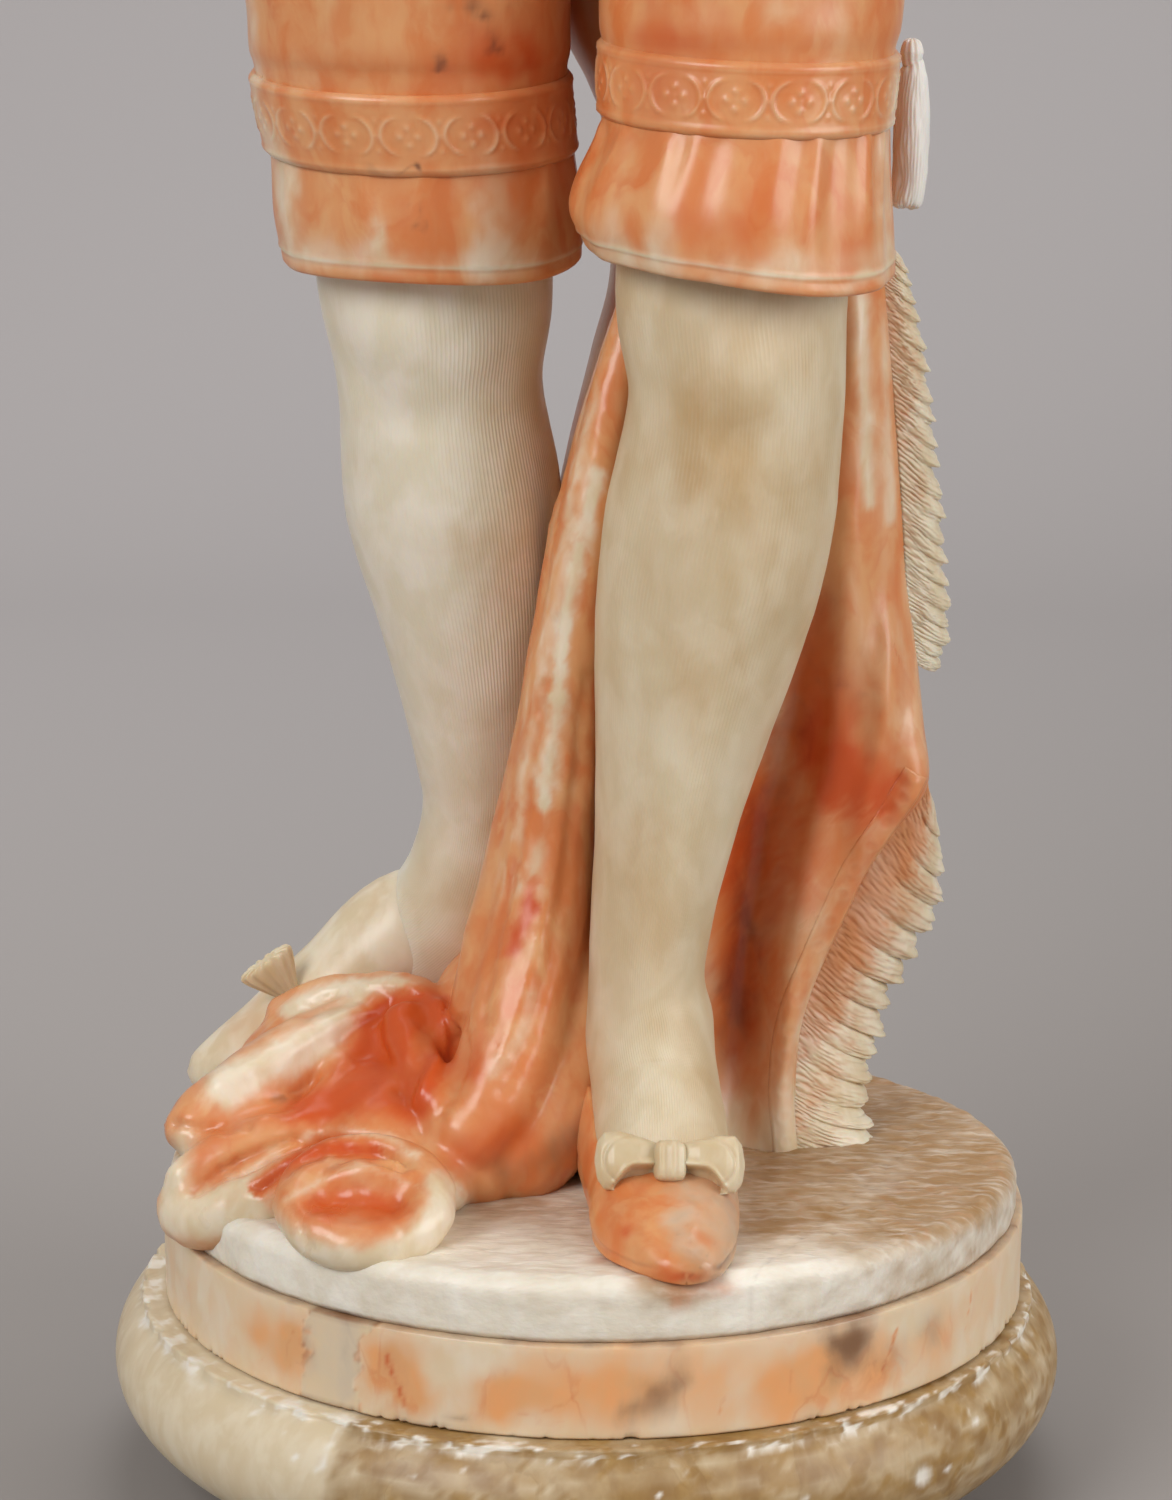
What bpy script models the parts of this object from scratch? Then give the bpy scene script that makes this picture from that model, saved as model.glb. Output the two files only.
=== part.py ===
"""Alabaster figure in knee breeches and fringed cape, on a round plinth and a turned base moulding.

Metres, +Z up. The origin is the centre of the underside, and the figure faces -Y.
"""
import math

import bmesh
import bpy
import numpy as np
from mathutils import Vector

# Driving dimensions
STATURE = 1.08             # sole to crown
PLINTH_RADIUS = 0.160
PLINTH_THICKNESS = 0.0339
GROUND_RADIUS = 0.1575
GROUND_MID = 0.0155        # the rough ground's thickness at the axis
GROUND_SLOPE = -0.042      # it thins towards the back
FOOT_RADIUS = 0.135        # fillet under the moulding
FOOT_HEIGHT = 0.012
TORUS_RADIUS = 0.177
TORUS_DEPTH = 0.050
TORUS_HALF_HEIGHT = 0.035
TORUS_TOP = 0.025          # the ledge cuts the torus off this far above its middle
LEDGE_LIP = 0.0030         # the torus turns upright this far below the ledge
TORUS_SHIFT = -0.0022      # the plinth sits a little off the moulding's centre
GAP = 0.0003               # clearance between pieces that rest on each other
SEGMENTS = 60              # round pieces
VOXEL = 0.0045             # grid of the skin that joins the figure's forms
KEPT_FACES = 0.051         # share of that skin's faces

LEDGE_Z = FOOT_HEIGHT + TORUS_HALF_HEIGHT + TORUS_TOP
PLINTH_Z = LEDGE_Z + GAP
SEAM_Z = PLINTH_Z + PLINTH_THICKNESS
GROUND_Z = SEAM_Z + GAP

CREAM = (0.62, 0.52, 0.38)
ORANGE = (0.70, 0.25, 0.09)
TAN = (0.42, 0.29, 0.15)


def stone(name, colour, roughness):
    """Make a plain polished-stone material."""
    material = bpy.data.materials.new(name)
    material.use_nodes = True
    shader = material.node_tree.nodes["Principled BSDF"]
    shader.inputs["Base Color"].default_value = (*colour, 1.0)
    shader.inputs["Roughness"].default_value = roughness
    shader.inputs["Metallic"].default_value = 0.0
    return material


def file_under(item, collection):
    """Move an object that a primitive tool has made into a collection."""
    for old in list(item.users_collection):
        old.objects.unlink(item)
    collection.objects.link(item)


def smooth_rows(stations, count):
    """Rows on a Catmull-Rom curve through the stations."""
    rows = np.array(stations, float)
    padded = np.vstack([2 * rows[0] - rows[1], rows, 2 * rows[-1] - rows[-2]])
    place = np.linspace(0, len(rows) - 1, count)
    index = np.minimum(place.astype(int), len(rows) - 2)
    t = (place - index)[:, None]
    a, b, c, d = (padded[index + k] for k in range(4))
    return 0.5 * (2 * b + (c - a) * t + (2 * a - 5 * b + 4 * c - d) * t**2 + (3 * b - a - 3 * c + d) * t**3)


def add_loft(mesh, rings):
    """Add a closed loft through rings of points, with a fan on each end."""
    rings = [[mesh.verts.new(point) for point in ring] for ring in rings]
    count = len(rings[0])
    faces = []
    for low, high in zip(rings, rings[1:]):
        for i in range(count):
            j = (i + 1) % count
            faces.append(mesh.faces.new((low[i], low[j], high[j], high[i])))
    for ring in (rings[0], rings[-1]):
        centre = mesh.verts.new(sum((v.co for v in ring), Vector()) / count)
        faces += [mesh.faces.new((ring[i], ring[(i + 1) % count], centre)) for i in range(count)]
    bmesh.ops.recalc_face_normals(mesh, faces=faces)


def add_tube(mesh, stations, up=(0, 1, 0), around=24, steps=6):
    """Add a limb: stations are x, y, z, half width across and half depth along `up`."""
    rows = smooth_rows(stations, (len(stations) - 1) * steps + 1)
    centre, radii = rows[:, :3], np.maximum(rows[:, 3:5], 0.002)
    tangent = np.gradient(centre, axis=0)
    tangent /= np.linalg.norm(tangent, axis=1)[:, None]
    side = np.cross(tangent, up)
    side /= np.linalg.norm(side, axis=1)[:, None]
    depth = np.cross(side, tangent)
    angle = np.linspace(0, 2 * math.pi, around, endpoint=False)
    across = radii[:, :1, None] * np.cos(angle)[None, :, None] * side[:, None]
    along = radii[:, 1:, None] * np.sin(angle)[None, :, None] * depth[:, None]
    add_loft(mesh, centre[:, None] + across + along)


def add_ball(mesh, centre, radii):
    """Add an ellipsoid."""
    made = bmesh.ops.create_uvsphere(mesh, u_segments=24, v_segments=16, radius=1.0)
    for vertex in made["verts"]:
        vertex.co = Vector(centre) + Vector(a * b for a, b in zip(vertex.co, radii))


def add_ground(mesh):
    """Add the rough ground: a disc whose top slopes down to the back. Its underside is cut flat later."""
    angle = np.linspace(0, 2 * math.pi, SEGMENTS, endpoint=False)
    rings = []
    for radius, drop in ((1.0, None), (1.0, 0.005), (0.985, 0.0015), (0.95, 0.0), (0.5, 0.0), (0.05, 0.0)):
        x, y = radius * GROUND_RADIUS * np.cos(angle), radius * GROUND_RADIUS * np.sin(angle)
        top = SEAM_Z + GROUND_MID + GROUND_SLOPE * y
        z = np.full(SEGMENTS, SEAM_Z - 0.010) if drop is None else top - drop
        rings.append(np.stack([x, y, z], axis=-1))
    add_loft(mesh, rings)


def add_legs(mesh):
    """Add the stockinged legs: the near one bears the weight, the far one lifts its heel."""
    add_tube(mesh, ((.049, -.030, .500, .040, .042), (.0457, -.033, .448, .0405, .043),
                    (.0478, -.035, .410, .0380, .042), (.0420, -.030, .362, .0404, .046),
                    (.0348, -.030, .320, .0364, .041), (.0260, -.033, .265, .0267, .031),
                    (.0188, -.036, .209, .0213, .026), (.0194, -.038, .165, .0227, .030),
                    (.0215, -.045, .135, .0240, .034)))
    add_tube(mesh, ((-.0655, .022, .500, .043, .044), (-.0594, .028, .4405, .0425, .044),
                    (-.0580, .030, .405, .0375, .042), (-.0535, .036, .362, .0400, .046),
                    (-.0470, .041, .318, .0345, .041), (-.0425, .045, .265, .0262, .030),
                    (-.0436, .047, .236, .0225, .026), (-.0560, .048, .195, .0270, .026)))


def add_shoes(mesh):
    """Add the low shoes with their bows."""
    add_tube(mesh, ((.0140, .010, .138, .010, .010), (.0150, -.005, .140, .021, .020),
                    (.0195, -.045, .148, .0268, .027), (.0238, -.088, .143, .0268, .020),
                    (.0245, -.117, .138, .0260, .0135), (.0262, -.136, .1345, .0208, .0105),
                    (.0298, -.150, .132, .0110, .0070), (.0312, -.156, .131, .0040, .0045)), up=(0, 0, 1))
    add_tube(mesh, ((-.022, .052, .176, .012, .014), (-.040, .052, .188, .021, .024),
                    (-.068, .050, .192, .0240, .026), (-.098, .047, .172, .0240, .020),
                    (-.125, .044, .155, .0210, .015), (-.144, .042, .144, .0150, .0105),
                    (-.153, .041, .139, .0060, .0060)), up=(0, 0, 1))
    for side in (-1, 1):
        add_ball(mesh, (.0260 + side * .0145, -.113, .156), (.0125, .0075, .0100))
    add_ball(mesh, (.0260, -.114, .154), (.007, .009, .011))
    add_tube(mesh, ((-.110, .032, .166, .006, .006), (-.1160, .0285, .174, .0060, .0060),
                    (-.1205, .0260, .181, .0095, .0060), (-.1240, .0240, .187, .0115, .0055)),
             up=(.5, .6, -.6), around=14)


def add_breeches(mesh):
    """Add the knee breeches: a full thigh, the garter band and the frill below it."""
    add_tube(mesh, ((.030, .000, .712, .030, .040), (.0470, -.006, .680, .058, .066),
                    (.0505, -.012, .645, .065, .069), (.0520, -.020, .595, .0590, .063),
                    (.0511, -.028, .547, .0525, .056), (.0498, -.033, .519, .0518, .053),
                    (.0490, -.035, .503, .0516, .053), (.0458, -.037, .484, .0550, .056),
                    (.0455, -.037, .472, .0562, .057), (.0485, -.038, .455, .0540, .056)))
    add_tube(mesh, ((-.045, .002, .712, .030, .040), (-.0600, .004, .680, .058, .067),
                    (-.0665, .006, .645, .066, .070), (-.0690, .010, .595, .0620, .064),
                    (-.0684, .014, .543, .0575, .058), (-.0675, .017, .517, .0578, .057),
                    (-.0640, .020, .492, .0568, .056), (-.0620, .021, .470, .0562, .056),
                    (-.0605, .022, .448, .0540, .055)))


def add_torso(mesh):
    """Add the trunk in a gentle contrapposto, with the sash, the short jacket and the cravat over it."""
    add_tube(mesh, ((-.008, .002, .605, .070, .060), (-.009, .002, .645, .110, .078),
                    (-.007, .002, .690, .110, .079), (-.005, .000, .735, .094, .069),
                    (-.003, -.002, .775, .083, .063), (-.003, -.004, .815, .090, .066),
                    (-.002, -.004, .880, .103, .073), (-.002, -.002, .940, .112, .071),
                    (-.003, .002, .960, .104, .060), (-.004, .004, .985, .078, .048),
                    (-.005, .003, 1.010, .042, .039), (-.007, -.002, 1.050, .033, .035),
                    (-.009, -.004, 1.090, .032, .034)))
    add_tube(mesh, ((-.005, .000, .730, .098, .073), (-.004, -.001, .745, .098, .074),
                    (-.003, -.002, .775, .092, .071), (-.003, -.003, .790, .086, .066)))
    add_tube(mesh, ((-.003, -.003, .806, .1000, .0745), (-.003, -.004, .830, .1015, .0770),
                    (-.002, -.004, .880, .1095, .0800), (-.002, -.002, .930, .1160, .0780),
                    (-.003, .002, .964, .1100, .0690), (-.004, .004, .986, .0910, .0570),
                    (-.004, .005, 1.003, .0640, .0510), (-.005, .006, 1.026, .0490, .0450)))
    add_tube(mesh, ((-.006, .000, 1.006, .043, .041), (-.007, -.001, 1.030, .0415, .0405),
                    (-.008, -.002, 1.048, .0375, .0375), (-.008, -.002, 1.057, .0345, .0350)))
    add_ball(mesh, (-.006, -.052, 1.008), (.014, .013, .013))
    add_ball(mesh, (-.006, -.066, .976), (.017, .012, .028))


def add_hand(mesh, wrist, reach, curl, spread):
    """Add a closed hand: a palm, four fingers side by side and a thumb, from the wrist along `reach`."""
    wrist, reach, curl, spread = (np.array(v, float) for v in (wrist, reach, curl, spread))
    palm = wrist + 0.026 * reach
    path = (wrist - 0.010 * reach, wrist + 0.008 * reach, palm, palm + 0.018 * reach)
    sizes = ((.017, .014), (.018, .012), (.024, .012), (.023, .010))
    add_tube(mesh, [(*point, *size) for point, size in zip(path, sizes)], up=curl)
    for number in range(4):
        root = palm + 0.014 * reach + (number - 1.5) * 0.0115 * spread
        bend = root + 0.020 * reach + 0.004 * curl
        tip = bend + 0.010 * reach + 0.016 * curl
        add_tube(mesh, [(*point, .0062, .0062) for point in (root, bend, tip)], up=spread, around=10)
    root = palm - 0.008 * reach + 0.020 * spread
    bend = root + 0.016 * reach + 0.010 * spread
    tip = root + 0.032 * reach + 0.008 * spread + 0.006 * curl
    add_tube(mesh, [(*point, .0070, .0070) for point in (root, bend, tip)], up=curl, around=10)


def add_arms(mesh):
    """Add the sleeved arms: one hand rests on the hip, the other holds the cape at the chest."""
    add_tube(mesh, ((-.066, .003, .960, .030, .035), (-.096, .004, .966, .034, .041),
                    (-.128, .007, .947, .040, .042), (-.160, .018, .900, .036, .038),
                    (-.176, .027, .846, .032, .034), (-.170, .014, .806, .031, .031),
                    (-.142, -.014, .776, .027, .026), (-.127, -.026, .765, .026, .025),
                    (-.114, -.036, .754, .0285, .0275)), up=(0, 1, .2))
    # The left arm's sections keep the normal of its bend, so they do not turn over at the elbow.
    add_tube(mesh, ((.062, .003, .960, .030, .035), (.091, .004, .965, .034, .041),
                    (.119, .006, .945, .040, .042), (.142, .008, .896, .036, .038),
                    (.147, .000, .842, .032, .033), (.134, -.034, .816, .030, .029),
                    (.100, -.070, .834, .025, .025), (.085, -.080, .847, .025, .024),
                    (.072, -.088, .858, .0275, .0265)), up=(.7, -.7, .1))
    add_hand(mesh, (-.118, -.034, .757), (.74, -.42, -.52), (.40, .86, .10), (.30, -.25, .62))
    add_hand(mesh, (.076, -.086, .855), (-.72, -.10, .68), (-.10, .95, .10), (.60, .00, .70))
    for side in (-1, 1):
        add_ball(mesh, (-.004 + side * .110, .006, .963), (.034, .040, .025))


def add_head(mesh):
    """Add the head: skull, jaw, nose, mouth, chin, brow, ears and hair, tied in a knot at the nape."""
    crown = SEAM_Z + GROUND_MID + STATURE
    x, y = -.011, -.008
    add_ball(mesh, (x, y, crown - .072), (.044, .053, .058))
    add_tube(mesh, ((x, y - .012, crown - .075, .041, .044),
                    (x - .001, y - .016, crown - .098, .036, .038),
                    (x - .002, y - .022, crown - .120, .027, .030),
                    (x - .002, y - .026, crown - .138, .014, .020)))
    add_tube(mesh, ((x - .002, y - .050, crown - .068, .006, .006),
                    (x - .003, y - .059, crown - .084, .007, .008),
                    (x - .003, y - .063, crown - .096, .009, .007)), around=10)
    add_ball(mesh, (x - .002, y - .052, crown - .112), (.013, .006, .006))
    add_ball(mesh, (x - .002, y - .048, crown - .130), (.012, .009, .009))
    add_ball(mesh, (x - .001, y - .046, crown - .062), (.031, .010, .007))
    for side in (-1, 1):
        add_ball(mesh, (x + side * .046, y + .006, crown - .086), (.006, .011, .017))
    add_ball(mesh, (x, y + .010, crown - .056), (.052, .057, .056))
    add_ball(mesh, (x, y + .018, crown - .090), (.046, .042, .044))
    add_ball(mesh, (x + .002, y + .064, crown - .094), (.022, .018, .021))
    for side in (-1, 1):
        add_ball(mesh, (x + .002 + side * .014, y + .056, crown - .113), (.0125, .010, .010))


def add_cape_fall(mesh):
    """Add the hanging cape: closed sections from the shoulder to the ground, with folds down its back.

    Stations are height, left edge, right edge, front and back. The front is hollowed behind the near leg,
    and the lower right edge is square where the hem turns.
    """
    rows = smooth_rows(((1.000, .050, .120, .030, .068), (.950, .005, .134, .035, .084),
                        (.850, -.025, .135, .040, .092), (.750, -.035, .128, .045, .096),
                        (.650, -.035, .116, .045, .102), (.550, -.022, .1055, .020, .100),
                        (.460, .002, .1060, .010, .096), (.388, -.0124, .1127, .004, .095),
                        (.3085, -.0276, .1182, -.002, .096), (.252, -.0365, .1250, -.004, .098),
                        (.222, -.0430, .1290, -.006, .100), (.190, -.0500, .1160, -.008, .102),
                        (.156, -.0500, .1045, -.008, .104), (.108, -.0420, .1020, -.006, .106)), 66)
    angle = np.linspace(0, 2 * math.pi, 56, endpoint=False)
    rings = []
    for z, left, right, front, back in rows:
        low = 1 / (1 + math.exp((z - 0.30) / 0.02))
        square = 0.75 - 0.30 * low * (np.cos(angle) > 0) * np.cos(angle) ** 2
        across = np.sign(np.cos(angle)) * np.abs(np.cos(angle)) ** square
        along = np.sign(np.sin(angle)) * np.abs(np.sin(angle)) ** square
        x = (left + right) / 2 + (right - left) / 2 * across
        y = (front + back) / 2 + (back - front) / 2 * along
        fullness = 0.003 + 0.005 * np.clip((0.9 - z) / 0.7, 0, 1)
        y += np.where(along > 0, fullness * np.sin(x * 240 + 2 * z) * along, 0)
        y += np.where(along < 0, 0.040 * low * np.exp(-((x - 0.060) / 0.018) ** 2) * -along, 0)
        rings.append(np.stack([x, y, np.full_like(x, z)], axis=-1))
    add_loft(mesh, rings)


def add_cape_folds(mesh):
    """Add the cape's separate folds: over the shoulder, the sweep to the far foot, the fringe and tassel."""
    add_tube(mesh, ((.085, .055, .975, .014, .034), (.098, .020, 1.008, .013, .034),
                    (.100, -.030, 1.000, .013, .032), (.088, -.066, .950, .013, .028),
                    (.062, -.086, .890, .012, .018), (.050, -.084, .800, .010, .020),
                    (.052, -.078, .740, .008, .016)), up=(1, 0, 0))
    add_tube(mesh, ((.012, -.002, .430, .008, .010), (-.001, -.004, .372, .013, .014),
                    (-.010, -.006, .300, .020, .018), (-.016, -.010, .235, .026, .022),
                    (-.022, -.022, .185, .028, .026), (-.034, -.042, .152, .026, .026),
                    (-.058, -.056, .138, .024, .024)))
    add_tube(mesh, ((.106, .040, .455, .005, .010), (.117, .044, .420, .007, .011),
                    (.122, .046, .362, .009, .012), (.124, .046, .316, .0085, .012),
                    (.117, .044, .292, .005, .008)))
    add_tube(mesh, ((.1045, .024, .543, .0080, .009), (.1085, .023, .510, .0085, .010),
                    (.1095, .022, .470, .0085, .010)))


def add_pile(mesh):
    """Add the cape's gathered end: a mound over the far foot, and rolls out over the ground's rim."""
    add_ball(mesh, (-.092, .000, .142), (.050, .040, .042))
    add_ball(mesh, (-.070, -.030, .140), (.040, .045, .036))
    add_ball(mesh, (-.056, .012, .160), (.028, .034, .040))
    add_tube(mesh, ((-.085, .010, .172, .012, .012), (-.112, -.008, .165, .017, .016),
                    (-.135, -.030, .148, .019, .018), (-.145, -.045, .132, .013, .013)), up=(0, 0, 1))
    add_tube(mesh, ((-.143, -.058, .124, .014, .014), (-.128, -.074, .127, .017, .016),
                    (-.102, -.080, .138, .018, .017), (-.072, -.072, .146, .018, .016)), up=(0, 0, 1))
    angle = np.linspace(0, 2 * math.pi, 15)
    ring = [(-.0795 + .0228 * math.cos(a), -.108 + .020 * math.sin(a), .1385 + .0085 * math.sin(a),
             .0100, .0100) for a in angle]
    add_tube(mesh, ring, up=(0, 0, 1), around=12, steps=2)
    add_ball(mesh, (-.079, -.108, .131), (.026, .026, .014))


def build_figure(parts, cutters):
    """Join the forms, wrap them in one skin and cut the underside flat."""
    mesh = bmesh.new()
    for add in (add_ground, add_legs, add_shoes, add_breeches, add_torso, add_arms, add_head,
                add_cape_fall, add_cape_folds, add_pile):
        add(mesh)
    data = bpy.data.meshes.new("figure")
    mesh.to_mesh(data)
    mesh.free()
    figure = bpy.data.objects.new("figure", data)
    parts.objects.link(figure)
    data.materials.append(stone("stained_alabaster", CREAM, 0.32))

    skin = figure.modifiers.new("one_skin", "REMESH")
    skin.mode = "VOXEL"
    skin.voxel_size = VOXEL
    fewer = figure.modifiers.new("fewer_faces", "DECIMATE")
    fewer.ratio = KEPT_FACES

    bpy.ops.mesh.primitive_cube_add(size=1.0, location=(0, 0, GROUND_Z - 0.5))
    cutter = bpy.context.object
    cutter.name = "cutter_underside"
    file_under(cutter, cutters)
    cutter.hide_render = True
    cutter.display_type = "WIRE"
    cut = figure.modifiers.new("flat_underside", "BOOLEAN")
    cut.operation = "DIFFERENCE"
    cut.solver = "EXACT"
    cut.object = cutter


def build_plinth(parts):
    """Make the smooth disc, with its edges eased."""
    bpy.ops.mesh.primitive_cylinder_add(vertices=SEGMENTS, radius=PLINTH_RADIUS, depth=PLINTH_THICKNESS,
                                        location=(0, 0, PLINTH_Z + PLINTH_THICKNESS / 2))
    disc = bpy.context.object
    disc.name = "plinth_disc"
    file_under(disc, parts)
    disc.data.materials.append(stone("banded_alabaster", ORANGE, 0.30))
    eased = disc.modifiers.new("eased_edges", "BEVEL")
    eased.width = 0.0012
    eased.segments = 2
    eased.angle_limit = math.radians(60)
    disc.data.shade_smooth()
    disc.data.set_sharp_from_angle(angle=math.radians(40))


def build_moulding(parts):
    """Turn the half-round base moulding: its profile runs along the ledge and down to the underside."""
    inner = TORUS_RADIUS - TORUS_DEPTH
    middle = FOOT_HEIGHT + TORUS_HALF_HEIGHT
    top = math.asin((TORUS_TOP - LEDGE_LIP) / TORUS_HALF_HEIGHT)
    rim = inner + TORUS_DEPTH * math.cos(top)
    profile = [(0.0, LEDGE_Z), (rim, LEDGE_Z)]
    for angle in np.linspace(top, -math.pi / 2, 9):
        across, up = TORUS_DEPTH * math.cos(angle), TORUS_HALF_HEIGHT * math.sin(angle)
        profile.append((inner + across, middle + up))
    profile += [(FOOT_RADIUS, FOOT_HEIGHT), (FOOT_RADIUS, 0.0), (0.0, 0.0)]
    data = bpy.data.meshes.new("pedestal_moulding")
    data.from_pydata([(r, 0.0, z) for r, z in profile], [(i, i + 1) for i in range(len(profile) - 1)], [])
    moulding = bpy.data.objects.new("pedestal_moulding", data)
    moulding.location.x = TORUS_SHIFT
    parts.objects.link(moulding)
    data.materials.append(stone("tan_onyx", TAN, 0.35))
    turn = moulding.modifiers.new("turned", "SCREW")
    turn.steps = SEGMENTS
    turn.render_steps = SEGMENTS
    turn.use_merge_vertices = True
    turn.merge_threshold = 0.00005
    turn.use_smooth_shade = True


def main():
    """Build the three pieces."""
    for item in list(bpy.data.objects):
        bpy.data.objects.remove(item, do_unlink=True)
    parts = bpy.data.collections.new("alabaster_figure")
    cutters = bpy.data.collections.new("cutters")
    for collection in (parts, cutters):
        bpy.context.scene.collection.children.link(collection)
    build_figure(parts, cutters)
    build_plinth(parts)
    build_moulding(parts)


main()
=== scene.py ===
"""Looks of an alabaster figure in knee breeches, stockings and a fringed cape, on a round plinth.

Metres, +Z up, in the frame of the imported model. The figure faces -Y.
"""

import logging
import math
from dataclasses import dataclass
from enum import Enum
from typing import ClassVar, Sequence

import bpy
import numpy as np
from mathutils import Matrix, Vector


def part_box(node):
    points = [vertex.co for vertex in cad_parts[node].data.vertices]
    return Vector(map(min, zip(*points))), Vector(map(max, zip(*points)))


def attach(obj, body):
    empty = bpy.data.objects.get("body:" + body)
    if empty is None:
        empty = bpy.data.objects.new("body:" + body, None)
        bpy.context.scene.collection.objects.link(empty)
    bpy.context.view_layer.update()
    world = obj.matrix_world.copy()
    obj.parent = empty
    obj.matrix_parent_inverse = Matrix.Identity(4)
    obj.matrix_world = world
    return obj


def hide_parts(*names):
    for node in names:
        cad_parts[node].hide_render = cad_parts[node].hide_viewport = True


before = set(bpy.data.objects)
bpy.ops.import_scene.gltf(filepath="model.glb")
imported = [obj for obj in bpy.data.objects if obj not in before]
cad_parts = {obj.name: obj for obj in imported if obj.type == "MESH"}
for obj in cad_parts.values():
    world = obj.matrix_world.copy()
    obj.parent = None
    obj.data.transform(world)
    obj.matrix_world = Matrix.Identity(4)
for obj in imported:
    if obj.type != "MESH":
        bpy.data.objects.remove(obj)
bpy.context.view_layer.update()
LOG = logging.getLogger("alabaster_figure")
Array = np.ndarray
Material = bpy.types.Material
Piece = bpy.types.Object
Socket = bpy.types.NodeSocket
Strokes = tuple[tuple[tuple[tuple[float, float], ...], float, float], ...]

PLINTH_LOW, PLINTH_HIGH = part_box("plinth_disc")
SEAM_Z = PLINTH_HIGH[2]
PLINTH_RADIUS = (PLINTH_HIGH[0] - PLINTH_LOW[0]) / 2
GROUND_RADIUS = .1575
GROUND_MID = .0155
STATURE = 1.08
GROUND_SLOPE = -.042


# ---------------------------------------------------------------- surfaces worked out with numpy


def smooth_rows(stations: Sequence[Sequence[float]], count: int) -> Array:
    """Rows on a Catmull-Rom curve: each span blends four neighbouring stations by cubic weights.

    Args:
        stations: rows of equal length that the curve passes through.
        count: how many rows to return, evenly spaced in station number.

    Returns:
        An array of `count` rows.
    """
    rows = np.array(stations, float)
    padded = np.vstack([2 * rows[0] - rows[1], rows, 2 * rows[-1] - rows[-2]])
    place = np.linspace(0, len(rows) - 1, count)
    index = np.minimum(place.astype(int), len(rows) - 2)
    t = (place - index)[:, None]
    a, b, c, d = (padded[index + k] for k in range(4))
    return .5 * (2 * b + (c - a) * t + (2 * a - 5 * b + 4 * c - d) * t**2 + (3 * b - a - 3 * c + d) * t**3)


def turns(count: int) -> Array:
    """Angles spaced evenly round a circle, from 0."""
    return np.linspace(0, 2 * math.pi, count, endpoint=False)


def circle(angle: Array) -> Array:
    """Points of the unit circle at the given angles: cosine and sine."""
    return np.stack([np.cos(angle), np.sin(angle)], -1)


def soft_step(value: Array, low: float, high: float) -> Array:
    """A smooth ramp from 0 below `low` to 1 above `high`: 3t^2 - 2t^3 of the clamped fraction t."""
    t = np.clip((value - low) / (high - low), 0, 1)
    return t * t * (3 - 2 * t)


def bell(value: Array, centre: float, width: float) -> Array:
    """A bump of height 1 at `centre` that falls off as exp(-(distance / width)^2)."""
    return np.exp(-(((value - centre) / width) ** 2))


def waves(points: Array, size: float, seed: int, octaves: int = 3) -> Array:
    """Rolling noise of about -1 to 1: sine products along random directions, finer and weaker each time.

    Args:
        points: positions, with two or three coordinates in the last axis.
        size: the length of the coarsest wave in metres.
        seed: picks the directions and phases.
        octaves: how many finer layers to add.

    Returns:
        The noise at each point.
    """
    rng = np.random.default_rng(seed)
    total = np.zeros(points.shape[:-1])
    weight = 0.0
    for octave in range(octaves):
        for _ in range(4):
            direction = rng.normal(size=points.shape[-1])
            direction *= 2 * math.pi * 1.9**octave / (size * np.linalg.norm(direction))
            phase = rng.uniform(0, 2 * math.pi, 2)
            side = np.roll(direction, 1)
            total += .6**octave * np.sin(points @ direction + phase[0]) * np.cos(points @ side + phase[1])
        weight += 2.0 * .6**octave
    return total / weight


def wander(points: Array, reach: float, size: float, seed: int) -> Array:
    """Push points about by a smooth random field, so that round patches get cloudy outlines."""
    return points + reach * np.stack([waves(points, size, seed + k) for k in range(points.shape[-1])], -1)


def patches(points: Array, rows: Sequence[Sequence[float]], seed: int = 1, reach: float = .007) -> Array:
    """Sum of soft ovals, amount * exp(-distance^2): each is a place, half width, half height and amount.

    Args:
        points: positions, with two or three coordinates in the last axis.
        rows: the ovals.
        seed: picks the random field that makes their outlines cloudy.
        reach: how far that field pushes, in metres.

    Returns:
        The sum at each point.
    """
    bent = wander(points, reach, .035, seed)
    size = points.shape[-1]
    total = np.zeros(points.shape[:-1])
    for *place, wide, tall, amount in rows:
        away = (bent - place) / ((wide,) * (size - 1) + (tall,))
        total += amount * np.exp(-(away**2).sum(-1))
    return total


def slanted(points: Array) -> Array:
    """Points seen along a line that falls by 0.34 to the back: x, and z + 0.34 y."""
    return np.stack([points[..., 0], points[..., 2] + .34 * points[..., 1]], -1)


def stroke(flat: Array, path: Sequence[Sequence[float]], width: float, wobble: float = .001) -> Array:
    """A line drawn on a plane: exp(-(distance to the path / width)^2), with the path a Catmull-Rom curve.

    Args:
        flat: points on the plane.
        path: points that the line passes through.
        width: the line's half width.
        wobble: how far a random field bends it.

    Returns:
        The line's strength at each point, 1 on it.
    """
    line = smooth_rows(path, 4 * len(path))
    bent = wander(flat, wobble, .012, 5)
    nearest = np.full(flat.shape[:-1], 1.0)
    for start, end in zip(line[:-1], line[1:]):
        span = end - start
        t = np.clip(((bent - start) @ span) / max(span @ span, 1e-12), 0, 1)
        nearest = np.minimum(nearest, np.linalg.norm(bent - start - t[..., None] * span, axis=-1))
    return bell(nearest, 0, width)


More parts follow.
